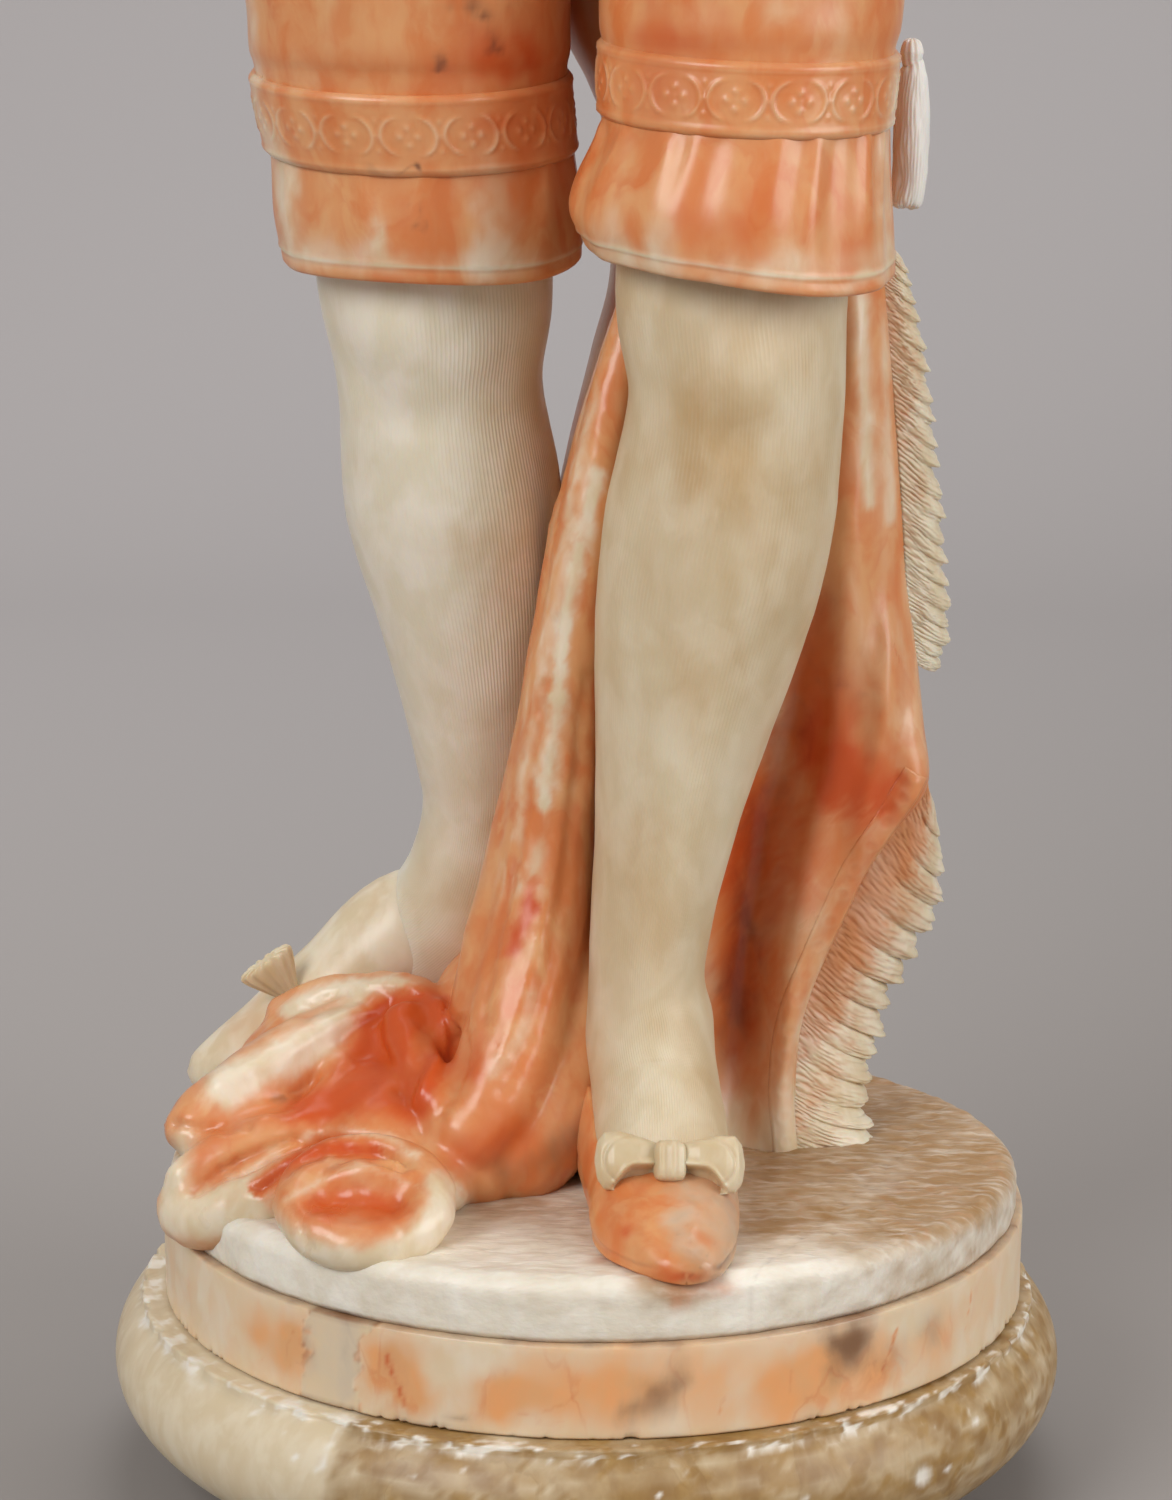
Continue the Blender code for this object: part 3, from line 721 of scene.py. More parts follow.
@dataclass
class PlinthDisc:
    """The smooth disc of banded stone: patches of orange, a filled repair, thin cracks and a chipped edge."""

    material: Material
    around: int = 620
    rows: int = 18
    ease: float = .0012

    veins: ClassVar[Strokes] = ((((-50, .094), (-47.5, .088), (-46.5, .081)), .0007, .35),
        (((-44, .097), (-46.5, .089)), .0006, .28), (((-40.5, .096), (-42, .088), (-41, .081)), .0006, .22),
        (((-26, .096), (-25.2, .088), (-23.5, .079)), .0009, .4),
        (((-9, .081), (-5, .083), (-1.5, .09)), .001, .4), (((-6.5, .078), (-3.5, .079)), .0014, .35),
        (((41, .098), (40.2, .092), (38.2, .08)), .001, .5), (((37.5, .094), (36.8, .086)), .0009, .3),
        (((24.5, .08), (25.2, .092)), .001, .42), (((15.5, .079), (16.2, .086)), .0008, .45),
        (((57, .099), (55.8, .087)), .0007, .45), (((61, .098), (60.2, .09)), .0007, .3))

    def build(self) -> None:
        """Turn a profile with eased edges, then nick its bottom edge."""
        low, high = PLINTH_LOW[2], PLINTH_HIGH[2]
        angle = turns(self.around)
        unit = circle(angle)
        turn = np.linspace(-math.pi / 2, 0, 5)
        foot = np.stack([PLINTH_RADIUS - self.ease * (1 - np.cos(turn)),
            low + self.ease * (1 + np.sin(turn))], -1)
        wall = np.stack([np.full(self.rows, PLINTH_RADIUS), np.linspace(low + self.ease, high - self.ease,
            self.rows)], -1)[1:-1]
        profile = np.vstack([foot, wall, np.stack([foot[::-1, 0], high - (foot[::-1, 1] - low)], -1)])
        r = np.broadcast_to(profile[:, :1], (len(profile), self.around)).copy()
        z = np.broadcast_to(profile[:, 1:], r.shape).copy()
        ring = np.broadcast_to(unit, (len(profile), self.around, 2))
        nick = soft_step(waves(unit, .06, 31) + .5 * waves(unit, .02, 32), .25, .8)
        r -= .0022 * nick * np.exp(-(z - low) / .0018)
        r += .00025 * waves(np.concatenate([ring, z[..., None] * 6], -1), .3, 33)
        rings = np.concatenate([ring * r[..., None], z[..., None]], -1)
        dress(closed_skin("plinth_disc_stone", rings, self.tones(rings, nick)), self.material,
            "plinth_disc")

    def tones(self, rings: Array, nick: Array) -> Array:
        """Soft pools of orange, a filled repair outlined by thin cracks, brown clouds and red veins.

        The veins are strokes on the unrolled wall: distance round the disc, and height.

        Args:
            rings: points shaped (rows, around, 3).
            nick: how chipped the bottom edge is, by angle.

        Returns:
            The three tones of each point.
        """
        z = rings[..., 2]
        azimuth = np.degrees(np.arctan2(rings[..., 0], -rings[..., 1]))
        rough = waves(rings, .02, 41)
        stain = .26 + .12 * waves(rings, .05, 42) + .8 * patches(rings, (
            (-.1176, -.1085, .09, .013, .009, .5), (-.103, -.1225, .094, .008, .009, .7),
            (-.106, -.12, .083, .008, .007, .35), (-.07, -.144, .0935, .011, .009, .95),
            (-.063, -.147, .083, .009, .008, .75), (-.045, -.1535, .092, .008, .013, -.25),
            (-.033, -.1565, .087, .012, .008, .75), (-.015, -.159, .09, .016, .01, .45),
            (.01, -.1597, .09, .016, .013, .5), (.039, -.155, .09, .016, .014, .42),
            (.065, -.146, .087, .012, .014, .6), (.078, -.1397, .088, .012, .014, .7),
            (.1, -.125, .085, .011, .011, .6), (.111, -.115, .1, .009, .006, -.45),
            (.122, -.104, .086, .012, .01, .3), (.135, -.086, .092, .014, .012, .1)), 43, .004)
        off = np.abs(azimuth + 34.2 - 55 * (z - .088) - 2.2 * rough)
        repair = 1 - soft_step(off, 4.2, 4.9)
        stain -= .2 * repair
        wall = np.stack([np.radians(azimuth) * PLINTH_RADIUS, z], -1)
        veins = sum(amount * stroke(wall, np.array(path) * (math.radians(1) * PLINTH_RADIUS, 1), wide)
            for path, wide, amount in self.veins)
        deep = patches(rings, ((-.103, -.1225, .094, .006, .006, .22), (-.069, -.1445, .092, .007, .008, .35),
            (-.062, -.147, .083, .006, .005, .3), (.078, -.1397, .084, .008, .01, .22)), 44)
        deep = .8 * deep + .34 * bell(off, 4.6, .4) + veins
        cracks = sum(bell(azimuth + lean * (z - .088) + 2.5 * rough, start, .5)
            for start, lean in ((62, 300), (70, -260)))
        dark = .3 * repair + .2 * cracks + .22 * bell(off, 4.6, .35) + patches(rings, (
            (.03, -.157, .098, .006, .007, .42), (.021, -.1586, .09, .008, .007, .52),
            (.012, -.1595, .082, .009, .005, .46), (.088, -.1335, .1, .009, .007, .75),
            (.084, -.136, .09, .008, .008, .35), (.119, -.107, .093, .013, .01, .42),
            (.1, -.125, .088, .02, .012, .2), (-.043, -.154, .0755, .007, .003, .55)), 45, .004)
        joint = bell(z, PLINTH_HIGH[2], .0011) + bell(z, PLINTH_LOW[2], .0012)
        dark = dark + .55 * joint + .15 * nick * bell(z, PLINTH_LOW[2], .003)
        brown = patches(rings, ((.092, -.131, .091, .016, .012, .22), (.023, -.158, .086, .008, .008, .16),
            (.034, -.156, .093, .008, .007, .16)), 46, .004)
        return tones_of(stain, deep, dark + brown)


@dataclass
class Moulding:
    """The turned half-round base: worn tan stone with a chipped white ledge, a crack and knocks."""

    material: Material
    middle: float = .047
    half: float = .035
    reach: float = .05
    radius: float = .177
    rim: float = .1673
    ledge: float = .072
    ledge_drop: float = .0043
    shift: float = -.0022
    around: int = 440
    knocks: tuple[tuple[float, float, float], ...] = (
        (41.5, .048, .0036), (45.5, .047, .0018), (30.5, .043, .002), (25.0, .052, .0014),
        (52.0, .058, .0016), (-35.0, .058, .0013), (-20.0, .06, .0012), (8.0, .058, .0014))

    def build(self) -> None:
        """Turn the profile: in along the ledge, up its rim, round the half ellipse and down to the foot."""
        start = math.asin((self.ledge - self.ledge_drop - self.middle) / self.half)
        turn = np.linspace(start, -math.pi / 2, 36)
        round_r = self.radius - self.reach + self.reach * np.cos(turn)
        round_z = self.middle + self.half * np.sin(turn)
        keep = round_r > 0
        upright = [(self.rim, z) for z in np.linspace(self.ledge - .0007, self.ledge - .004, 5)]
        ledge = [(r, self.ledge) for r in np.linspace(.152, self.rim - .0007, 12)]
        profile = np.array([*ledge, *upright, *zip(round_r[keep][1:], round_z[keep][1:]), (.135, .012),
            (.135, .0006), (.1344, 0.0)])
        angle = turns(self.around)
        unit = circle(angle)
        r = np.broadcast_to(profile[:, :1], (len(profile), self.around)).copy()
        z = np.broadcast_to(profile[:, 1:], r.shape).copy()
        chips = soft_step(waves(unit, .11, 51) + .6 * waves(unit, .035, 52), 0.0, .7)
        near_rim = bell(r, self.rim, .0022) * bell(z, self.ledge - .001, .0026)
        r -= near_rim * (.0006 + .0024 * chips)
        worn = (r > .161) * (z > self.ledge - .001) * (1 + waves(unit, .02, 53))
        z -= near_rim * .0012 * chips + .0004 * worn
        azimuth = np.broadcast_to(np.degrees(np.arctan2(unit[:, 0], -unit[:, 1])), r.shape)
        hits = np.zeros(r.shape)
        for place, height, size in self.knocks:
            away = np.hypot(np.radians(azimuth - place) * self.radius, z - height)
            hits = np.maximum(hits, bell(away, 0, size) * (r > .16))
        r -= .0008 * hits
        rings = np.concatenate([unit * r[..., None], z[..., None]], -1) + (self.shift, 0, 0)
        broken = waves(rings * (1, 1, 2.5), .024, 55) + .6 * waves(rings * (1, 1, 2), .009, 56)
        chips = soft_step(broken, -.15, .6)
        dress(closed_skin("pedestal_moulding_stone", rings, self.tones(rings, azimuth, hits, near_rim,
            chips)), self.material, "pedestal_moulding")

    def tones(self, rings: Array, azimuth: Array, hits: Array, near_rim: Array, chips: Array) -> Array:
        """Plain at the left, darker with level streaks right of the crack; the two meet softly at the back.

        White marks where it is chipped or knocked.

        Args:
            rings: points shaped (rows, around, 3).
            azimuth: degrees round from the front.
            hits: 1 where it is knocked.
            near_rim: 1 on the ledge's rim.
            chips: 1 where the rim is chipped.

        Returns:
            The three tones of each point.
        """
        z = rings[..., 2]
        rough = waves(rings, .02, 61)
        right = soft_step(azimuth + 3 * rough, -36, -24)
        streaks = waves(rings * (.25, .25, 1.6), .012, 62)
        crystals = soft_step(waves(rings, .018, 63) + .5 * waves(rings, .006, 64), .2, .7)
        behind = soft_step(np.abs(azimuth), 115, 178)
        right = right * (1 - .6 * behind) + .4 * behind * (azimuth < 0)
        stain = .05 + right * (.55 + .22 * streaks + .25 * crystals)
        stain = stain + .25 * soft_step(-azimuth, 48, 80) * (1 - behind) + .1 * behind
        crack = bell(azimuth, -32.5 + 70 * (z - .05) + rough, .55)
        top = (z > self.ledge - .001) * soft_step(np.hypot(rings[..., 0], rings[..., 1]), .1595, .163)
        rim = chips * (.85 * np.maximum(top, near_rim) + .6 * bell(z, .0675, .002))
        specks = soft_step(waves(rings, .007, 65), .62, .85) * bell(z, .064, .012)
        white = np.clip(1.4 * hits, 0, 1) + rim + .7 * crack * soft_step(rough, -.3, .4) + .5 * specks
        return tones_of(stain, right * .25 * soft_step(-streaks, .1, .7), white)


# ---------------------------------------------------------------- legs and breeches


@dataclass
class Stocking:
    """A leg in a fine knit stocking, from inside the breeches down to the instep.

    `stations` are x, y, z, half width and half depth. `swellings` are soft forms on the surface: the x, y, z
    of the middle, half width, half height and rise. The tint ovals are of the same kind; they hold stains in
    the stone and painted light: shade down the near leg's right side, shadow round the far ankle and a
    highlight on the far knee.
    """

    name: str
    material: Material
    stations: tuple[tuple[float, ...], ...]
    swellings: tuple[tuple[float, ...], ...]
    stains_and_painted_light: tuple[tuple[float, ...], ...]
    seed: int
    base: float = .2
    rows: int = 110
    around: int = 116

    def build(self) -> None:
        """Sweep the sections down the leg and raise the knee, shin, calf and ankle on them."""
        rings, _ = tube_rings(self.stations, self.rows, self.around)
        rings = swell(rings, patches(rings, self.swellings, reach=0.0) + .0003 * waves(rings, .05, self.seed))
        streak = waves(rings * (1, 1, .5), .05, self.seed + 1)
        # The tint ovals are partly stains in the stone and partly painted light: shade down the near leg's
        # right side, shadow round the far ankle, and a highlight on the far knee.
        stain = self.base + .14 * streak + .24 * patches(rings, self.stains_and_painted_light, 7)
        # Painted shadow: a dark band round the top of the stocking, just under the breeches' hem.
        hem = patches(rings, ((*self.stations[1][:3], .07, .007, .35),))
        dress(closed_skin(self.name, rings, tones_of(stain, .12 * stain, .3 * hem)), self.material)


@dataclass
class Breech:
    """One leg of the knee breeches, with the pleated frill that hangs below the garter band.

    `stations` run from the hip to the hem. `hem_tilt` lowers the hem towards the front.
    """

    name: str
    material: Material
    stations: tuple[tuple[float, ...], ...]
    band_top: float
    band_foot: float
    hem_tilt: float
    side_tilt: float
    band_tilt: float
    pleats: int
    pleat_height: float
    tints: tuple[tuple[float, ...], ...]
    reds: tuple[tuple[float, ...], ...]
    marks: tuple[tuple[float, ...], ...]
    seed: int
    rows: int = 104
    around: int = 176

    def build(self) -> None:
        """Sweep the thigh and frill, pleat the frill, turn the hem under, then add the garter band."""
        rings, angle = tube_rings(self.stations, self.rows, self.around, level=True)
        z = rings[..., 2]
        hem = self.stations[-1][2]
        below = np.clip((self.band_foot - z) / (self.band_foot - hem), 0, 1)
        above = np.clip((z - self.band_top) / .12, 0, 1)
        rings = swell(rings, self.pleat_field(angle, below) + self.thigh_folds(rings, above))
        stitch = bell(z, hem + .005, .0008) - .8 * bell(z, hem + .0036, .0007)
        rings = swell(rings, .00045 * stitch)
        front = .5 - .5 * np.sin(angle)
        wave = .001 * np.sin(3 * angle + self.seed)
        drop = self.hem_tilt * (front - .5) + self.side_tilt * np.cos(angle) + wave
        rings[..., 2] -= soft_step(below, 0, 1) * drop
        rings = self.turn_under(rings)
        dress(closed_skin(self.name, rings, self.tones(rings, below, stitch)), self.material)
        self.build_band()

    def pleat_field(self, angle: Array, below: Array) -> Array:
        """Ridges that leave the band in narrow pairs and widen downwards, each at a random place.

        Args:
            angle: angles round the leg.
            below: 0 at the band, 1 at the hem.

        Returns:
            How far each point is raised, in metres.
        """
        rng = np.random.default_rng(self.seed)
        field = np.zeros(np.broadcast(below, angle).shape)
        for number in range(self.pleats):
            start = 2 * math.pi * (number + rng.uniform(-.32, .32)) / self.pleats
            lean = rng.uniform(-.16, .16)
            width = rng.uniform(.055, .11)
            height = self.pleat_height * rng.uniform(.45, 1.0)
            away = (angle - start - lean * below + math.pi) % (2 * math.pi) - math.pi
            fade = soft_step(below, 0.0, .12) * (1 - .55 * soft_step(below, .45, .95))
            field += height * fade * (bell(away, 0, width * (.7 + .9 * below))
                - .5 * bell(away, .16, width * (.8 + below)))
        return field

    def thigh_folds(self, rings: Array, above: Array) -> Array:
        """Shallow slanting folds in the cloth of the thigh, gathered just over the band."""
        soft = .0018 * waves(rings * (1.0, 1.0, .45), .045, self.seed + 3, 2) * soft_step(above, .02, .4)
        return soft + .0006 * bell(above, .06, .07) - .0008 * bell(above, 0.0, .025)

    def turn_under(self, rings: Array) -> Array:
        """Add the hem's thickness: two rings round its edge, then two that go up inside.

        Args:
            rings: points shaped (rows, around, 3).

        Returns:
            The rings with four more.
        """
        last = rings[-1]
        middle = last.mean(0)
        added = []
        for inset, drop in ((.0009, .0011), (.0026, .0013), (.0042, -.0004), (.005, -.008)):
            flat = last[:, :2] - middle[:2]
            scale = 1 - inset / np.linalg.norm(flat, axis=1, keepdims=True)
            added.append(np.column_stack([middle[:2] + flat * scale, last[:, 2] - drop]))
        return np.concatenate([rings, np.array(added)])

    def tones(self, rings: Array, below: Array, stitch: Array) -> Array:
        """Patches of cream, red and dark mineral. The hem is paler and the band's shade is warmer.

        Args:
            rings: points shaped (rows, around, 3).
            below: 0 at the band, 1 at the hem.
            stitch: the height of the stitching over the hem.

        Returns:
            The three tones of each point.
        """
        extra = len(rings) - len(below)
        below, stitch = (np.pad(v, ((0, extra), (0, 0)), mode="edge") for v in (below, stitch))
        z = rings[..., 2]
        streak = waves(rings * (1, 1, .3), .03, self.seed + 5)
        stain = .8 + .12 * streak + .08 * waves(rings, .07, self.seed + 6)
        stain += patches(rings, self.tints, self.seed)
        stain -= .22 * bell(z, self.stations[-1][2] + .003, .006) + .25 * np.clip(stitch, 0, 1)
        deep = patches(rings, self.reds, self.seed + 1, .009) + .1 + .12 * streak
        deep += .2 * bell(z, self.band_foot - .004, .006) + .18 * bell(z, self.band_top + .004, .006)
        dark = patches(rings, self.marks, self.seed + 2, .01)
        return tones_of(stain, deep, dark)

    def build_band(self) -> None:
        """The garter band: a low raised strip round the leg, carved in relief between two thin borders."""
        height = self.band_top - self.band_foot
        line = smooth_rows(self.stations, 1400)
        levels = np.linspace(self.band_top + .0006, self.band_foot - .0006, 34)
        centre = np.stack([np.interp(-levels, -line[:, 2], line[:, k]) for k in range(5)], -1)
        turn = turns(360)
        angle = turn - .38 * np.cos(turn)
        t = (levels - self.band_foot) / height
        girth = math.pi * (centre[:, 3] + centre[:, 4]).mean()
        relief = GarterRelief(girth, height).field(angle[None] / (2 * math.pi) * girth, t[:, None] * height)
        edge = soft_step(t, -.03, .05) * (1 - soft_step(t, .95, 1.03))
        out = (.0014 * edge)[:, None] + relief * edge[:, None]
        rx, ry = centre[:, 3:4] + out, centre[:, 4:5] + out
        x, y = centre[:, :1] + rx * np.cos(angle), centre[:, 1:2] + ry * np.sin(angle)
        tilt = self.band_tilt * (.5 - .5 * np.sin(angle)) - .0015 + .36 * self.side_tilt * np.cos(angle)
        rings = np.stack([x, y, levels[:, None] - tilt + 0 * x], -1)
        ends = [np.stack([c[0] + (c[3] - .003) * np.cos(angle), c[1] + (c[4] - .003) * np.sin(angle),
            level - tilt], -1) for c, level in ((centre[0], levels[0]), (centre[-1], levels[-1]))]
        rings = np.concatenate([ends[:1], rings, ends[1:]])
        relief = np.pad(relief, ((1, 1), (0, 0)))
        stain = .78 + patches(rings, self.tints, self.seed) - .2 * np.clip(relief / .0006, 0, 1)
        deep = .1 + patches(rings, self.reds, self.seed + 1) + .1 * (1 - np.clip(relief / .0005, 0, 1))
        dark = patches(rings, self.marks, self.seed + 2, .01)
        dress(closed_skin(self.name + "_band", rings, tones_of(stain, deep, dark)), self.material)


@dataclass(frozen=True)
class GarterRelief:
    """A row of open ovals, each two facing arcs round a four-petalled flower, with dots between the ovals."""

    girth: float
    height: float
    pitch: float = .0212
    half_wide: float = .0094
    half_tall: float = .0076
    line: float = .00065
    rise: float = .0006

    def field(self, along: Array, up: Array) -> Array:
        """Relief height at a distance round the band and a height on it.

        Args:
            along: metres round the band.
            up: metres above its lower border.

        Returns:
            How far the relief stands out, in metres.
        """
        count = round(self.girth / self.pitch)
        pitch = self.girth / count
        x = (along + pitch / 2) % pitch - pitch / 2 + 0 * up
        y = up - self.height / 2 + 0 * along
        oval = np.hypot(x / self.half_wide, y / self.half_tall)
        arc_ends = 1 - soft_step(np.abs(y) / self.half_tall, .72, .98)
        arc = bell((oval - 1) * self.half_tall, 0, self.line) * arc_ends
        flower = sum(bell(np.hypot(x - a, y - b), 0, .00125)
            for a, b in ((.0031, 0), (-.0031, 0), (0, .0029), (0, -.0029)))
        flower = flower + .5 * bell(np.hypot(x, y), 0, .001)
        between = np.abs(x) - pitch / 2
        dots = sum(bell(np.hypot(between, y - b), 0, .0009) for b in (-.0052, 0.0, .0052))
        border = bell(np.abs(y), self.height / 2 - .0022, .0005) + .8 * soft_step(
            np.abs(y), self.height / 2 - .0014, self.height / 2 - .0008)
        return self.rise * (arc + .9 * flower + .6 * dots + .6 * border)


# ---------------------------------------------------------------- shoes


@dataclass
class NearShoe:
    """The shoe that bears the weight: a low shoe with a thin sole, open over the instep.

    `last` gives y, the middle's x, half width, and the height of the top above the ground along the foot.
    """

    material: Material
    last: tuple[tuple[float, ...], ...] = (
        (.015, .0138, .0085, .034), (.006, .0148, .0185, .045), (-.018, .0168, .024, .05),
        (-.045, .02, .027, .054), (-.07, .0224, .027, .043), (-.095, .0243, .0264, .0335),
        (-.117, .0245, .0258, .0258), (-.134, .0258, .0222, .0195), (-.146, .0285, .016, .014),
        (-.152, .0302, .0116, .01), (-.1545, .0308, .0082, .0078), (-.1557, .0311, .0044, .0058),
        (-.1561, .0312, .0012, .0048))
    rows: int = 110
    around: int = 100

    def build(self) -> None:
        """Sections are flat-soled ovals. Over the instep their tops sink inside the stocking."""
        line = smooth_rows(self.last, self.rows)
        y, x, half, tall = (line[:, k:k + 1] for k in range(4))
        half, tall = np.maximum(half, .001), np.maximum(tall, .004)
        angle = turns(self.around)
        c, s = np.cos(angle), np.sin(angle)
        floor = ground_height(x, y) - .0012
        waist = .3
        across = np.sign(c) * np.abs(c) ** .85
        z = np.where(s > 0, waist + (1 - waist) * np.abs(s) ** .95, waist * (1 - np.abs(s) ** .45))
        lift = floor + z * tall
        sideways = half * across * np.where(s > 0, 1.0, .985)
        opening = soft_step(s, .62, .72) * soft_step(y, -.0985, -.0925)
        sideways = sideways * (1 - .45 * opening)
        lift = lift - opening * .55 * tall
        flank = soft_step(y, -.1555, -.149)
        welt = flank * bell(z * tall, .0024, .0013) * (s < .4)
        groove = flank * bell(z * tall, .0048, .001) * (s < .6)
        sideways = sideways * (1 + (.0009 * welt - .0007 * groove) / np.maximum(half, .008))
        nose = .0006 * waves(np.stack([x + sideways, y + 0 * sideways, lift], -1), .02, 71)
        rings = np.stack([x + sideways, y + 0 * sideways, lift + nose * (s > 0)], -1)
        dress(closed_skin("near_shoe", rings, self.tones(rings, groove)), self.material)

    def tones(self, rings: Array, groove: Array) -> Array:
        """Orange at the outer side and the tip of the toe, cream and slightly dirty at the right.

        Args:
            rings: points shaped (rows, around, 3).
            groove: 1 in the groove over the sole.

        Returns:
            The three tones of each point.
        """
        side = soft_step(rings[..., 0] + .004 * waves(rings, .012, 70), .013, .032)
        stain = .92 - .46 * side + patches(rings, (
            (.0235, -.137, .141, .007, .008, -.14), (.012, -.124, .146, .01, .01, .2),
            (.029, -.15, .131, .009, .004, .75), (.018, -.144, .132, .008, .008, .35),
            (.036, -.143, .137, .005, .005, .3)), 72, .002)
        deep = .16 * (1 - side) + patches(rings, (
            (.01, -.132, .133, .008, .008, .45), (.029, -.153, .13, .01, .003, .75),
            (-.002, -.085, .135, .008, .02, .3), (.015, -.123, .15, .007, .003, .35),
            (.012, -.138, .137, .003, .006, .45)), 73, .003)
        specks = soft_step(waves(rings, .008, 74), .45, .9) * side * .08
        return tones_of(stain, deep, .25 * groove + .34 * side + specks)


@dataclass
class FarShoe:
    """The other shoe, its heel lifted behind the cape and its toe to the side."""

    material: Material
    stations: tuple[tuple[float, ...], ...] = (
        (-.02, .052, .172, .01, .012), (-.04, .052, .186, .02, .023), (-.068, .05, .19, .0235, .026),
        (-.098, .047, .17, .024, .02), (-.122, .0445, .1525, .0215, .0155), (-.14, .0425, .142, .0165, .0115),
        (-.15, .0415, .137, .0105, .008), (-.1545, .0412, .135, .003, .003))

    def build(self) -> None:
        """A closed toe in cream stone with a faint orange tinge near the bow."""
        rings, _ = tube_rings(self.stations, 60, 70, side=(0, 1, 0))
        floor = ground_height(rings[..., 0], rings[..., 1]) - .001
        rings[..., 2] = np.maximum(rings[..., 2], floor)
        stain = .16 + patches(rings, ((-.118, .03, .155, .02, .02, .35), (-.06, .04, .19, .04, .03, .1)), 75)
        dress(closed_skin("far_shoe", rings, tones_of(stain)), self.material)


@dataclass
class Bow:
    """A ribbon bow: two hollowed loops and a knot, each a closed form."""

    name: str
    material: Material
    centre: tuple[float, float, float]
    facing: float = 0.0
    lean: float = -24.0
    rows: int = 44
    around: int = 60

    def loop(self, side: int) -> Array:
        """A loop widens from the knot, rounds off, and is hollowed on its front below a thick upper edge.

        Args:
            side: -1 for the left loop, 1 for the right.

        Returns:
            The loop's rings, with the knot at the origin.
        """
        rows, around = self.rows, self.around
        t = np.linspace(0, 1, rows)[:, None]
        angle = turns(around)
        out = .0035 + .0225 * t
        tall = np.interp(t, (0, .25, .6, .85, .96, 1), (.006, .0082, .0103, .0098, .0066, .001))
        deep = np.interp(t, (0, .3, .7, .9, 1), (.0035, .0056, .0058, .0042, .0008))
        across = side * out + 0 * angle
        uneven = waves(np.stack([t + 0 * angle, angle + 0 * t], -1), 2.0, side + 4)
        height = tall * np.sin(angle) * (1 + .06 * uneven)
        front = -deep * np.cos(angle)
        brink = -.0016 - .0078 * soft_step(t, .26, .78) ** 2
        open_part = soft_step(t, .02, .1) * (1 - soft_step(t, .66, .76))
        mouth = soft_step(brink - height, -.0004, .0008) * open_part
        rolled = bell(height, brink + .0011, .0009) * (1 - soft_step(t, .66, .8))
        pleat = .0007 * np.sin(height / .0015) * np.exp(-t / .4)
        hem = bell(np.hypot((t - .35) / .56, height / .01), .9, .05) * (t > .4)
        room = np.maximum(-2 * front - .0016, 0)
        front = front + (front < 0) * (np.minimum(.006, room) * mouth + pleat - .0008 * rolled + .0006 * hem)
        droop = -.0016 * t + .0012 * t**2
        return np.stack([across, front, height + droop - .0008 * side * t], -1)

    def knot(self) -> Array:
        """A rounded block with three upright creases.

        Returns:
            The knot's rings, with its middle near the origin.
        """
        rows, around = 24, 48
        t = np.linspace(-1, 1, rows)[:, None]
        angle = turns(around)
        size = (1 - np.abs(t) ** 5) ** .35 + .02
        c, s = np.cos(angle), np.sin(angle)
        x = .0056 * size * np.sign(c) * np.abs(c) ** .7
        y = -.0062 * size * np.sign(s) * np.abs(s) ** .7
        y = y - .0006 * np.sin(x / .00075) * (y < 0)
        return np.stack([x, y - .0012, .0074 * t + 0 * x], -1)

    def build(self) -> None:
        """Place the loops and the knot, leaning back on the instep."""
        facing, lean = math.radians(self.facing), math.radians(self.lean)
        turn = np.array(Matrix.Rotation(facing, 3, "Z") @ Matrix.Rotation(lean, 3, "X"))
        parts = []
        for number, rings in enumerate((self.loop(-1), self.loop(1), self.knot())):
            stain = .06 + .1 * waves(rings, .02, number + 80)
            below = (np.abs(rings[..., 0]) > .007) * (rings[..., 2] < -.001)
            # Painted shade: low in each loop's hollow the stone is warmer and darker.
            inner = bell(rings[..., 1], .002, .0026) * below
            placed = rings @ turn.T + self.centre
            parts.append(closed_skin(f"{self.name}_{number}", placed,
                tones_of(stain + .3 * inner, 0.0, .14 * inner)))
        dress(joined(self.name, parts), self.material)


@dataclass
class RibbonFan:
    """The far shoe's bow seen edge on: a fluted loop that flares from its knot like a fan."""

    material: Material
    knot: tuple[float, float, float] = (-.1135, .03, .17)
    tip: tuple[float, float, float] = (-.1235, .024, .1855)

    def build(self) -> None:
        """Sweep flat sections along the loop, wider and fluted towards its open end."""
        start, end = np.array(self.knot), np.array(self.tip)
        stations = []
        for t, wide, deep in ((-.35, .003, .003), (0.0, .0046, .0046), (.2, .0042, .0036),
                (.6, .0078, .0036), (.95, .0108, .0034), (1.08, .01, .0026), (1.1, .002, .001)):
            stations.append((*(start + (end - start) * t), wide, deep))
        rings, angle = tube_rings(stations, 40, 78, side=(.8, .15, .55))
        rise = np.linspace(0, 1, 40)[:, None]
        rings = swell(rings, .0006 * rise * np.sin(angle * 13) * (rise < .93))
        stain = .05 + .05 * waves(rings, .02, 84)
        dress(closed_skin("far_shoe_bow", rings, tones_of(stain)), self.material)


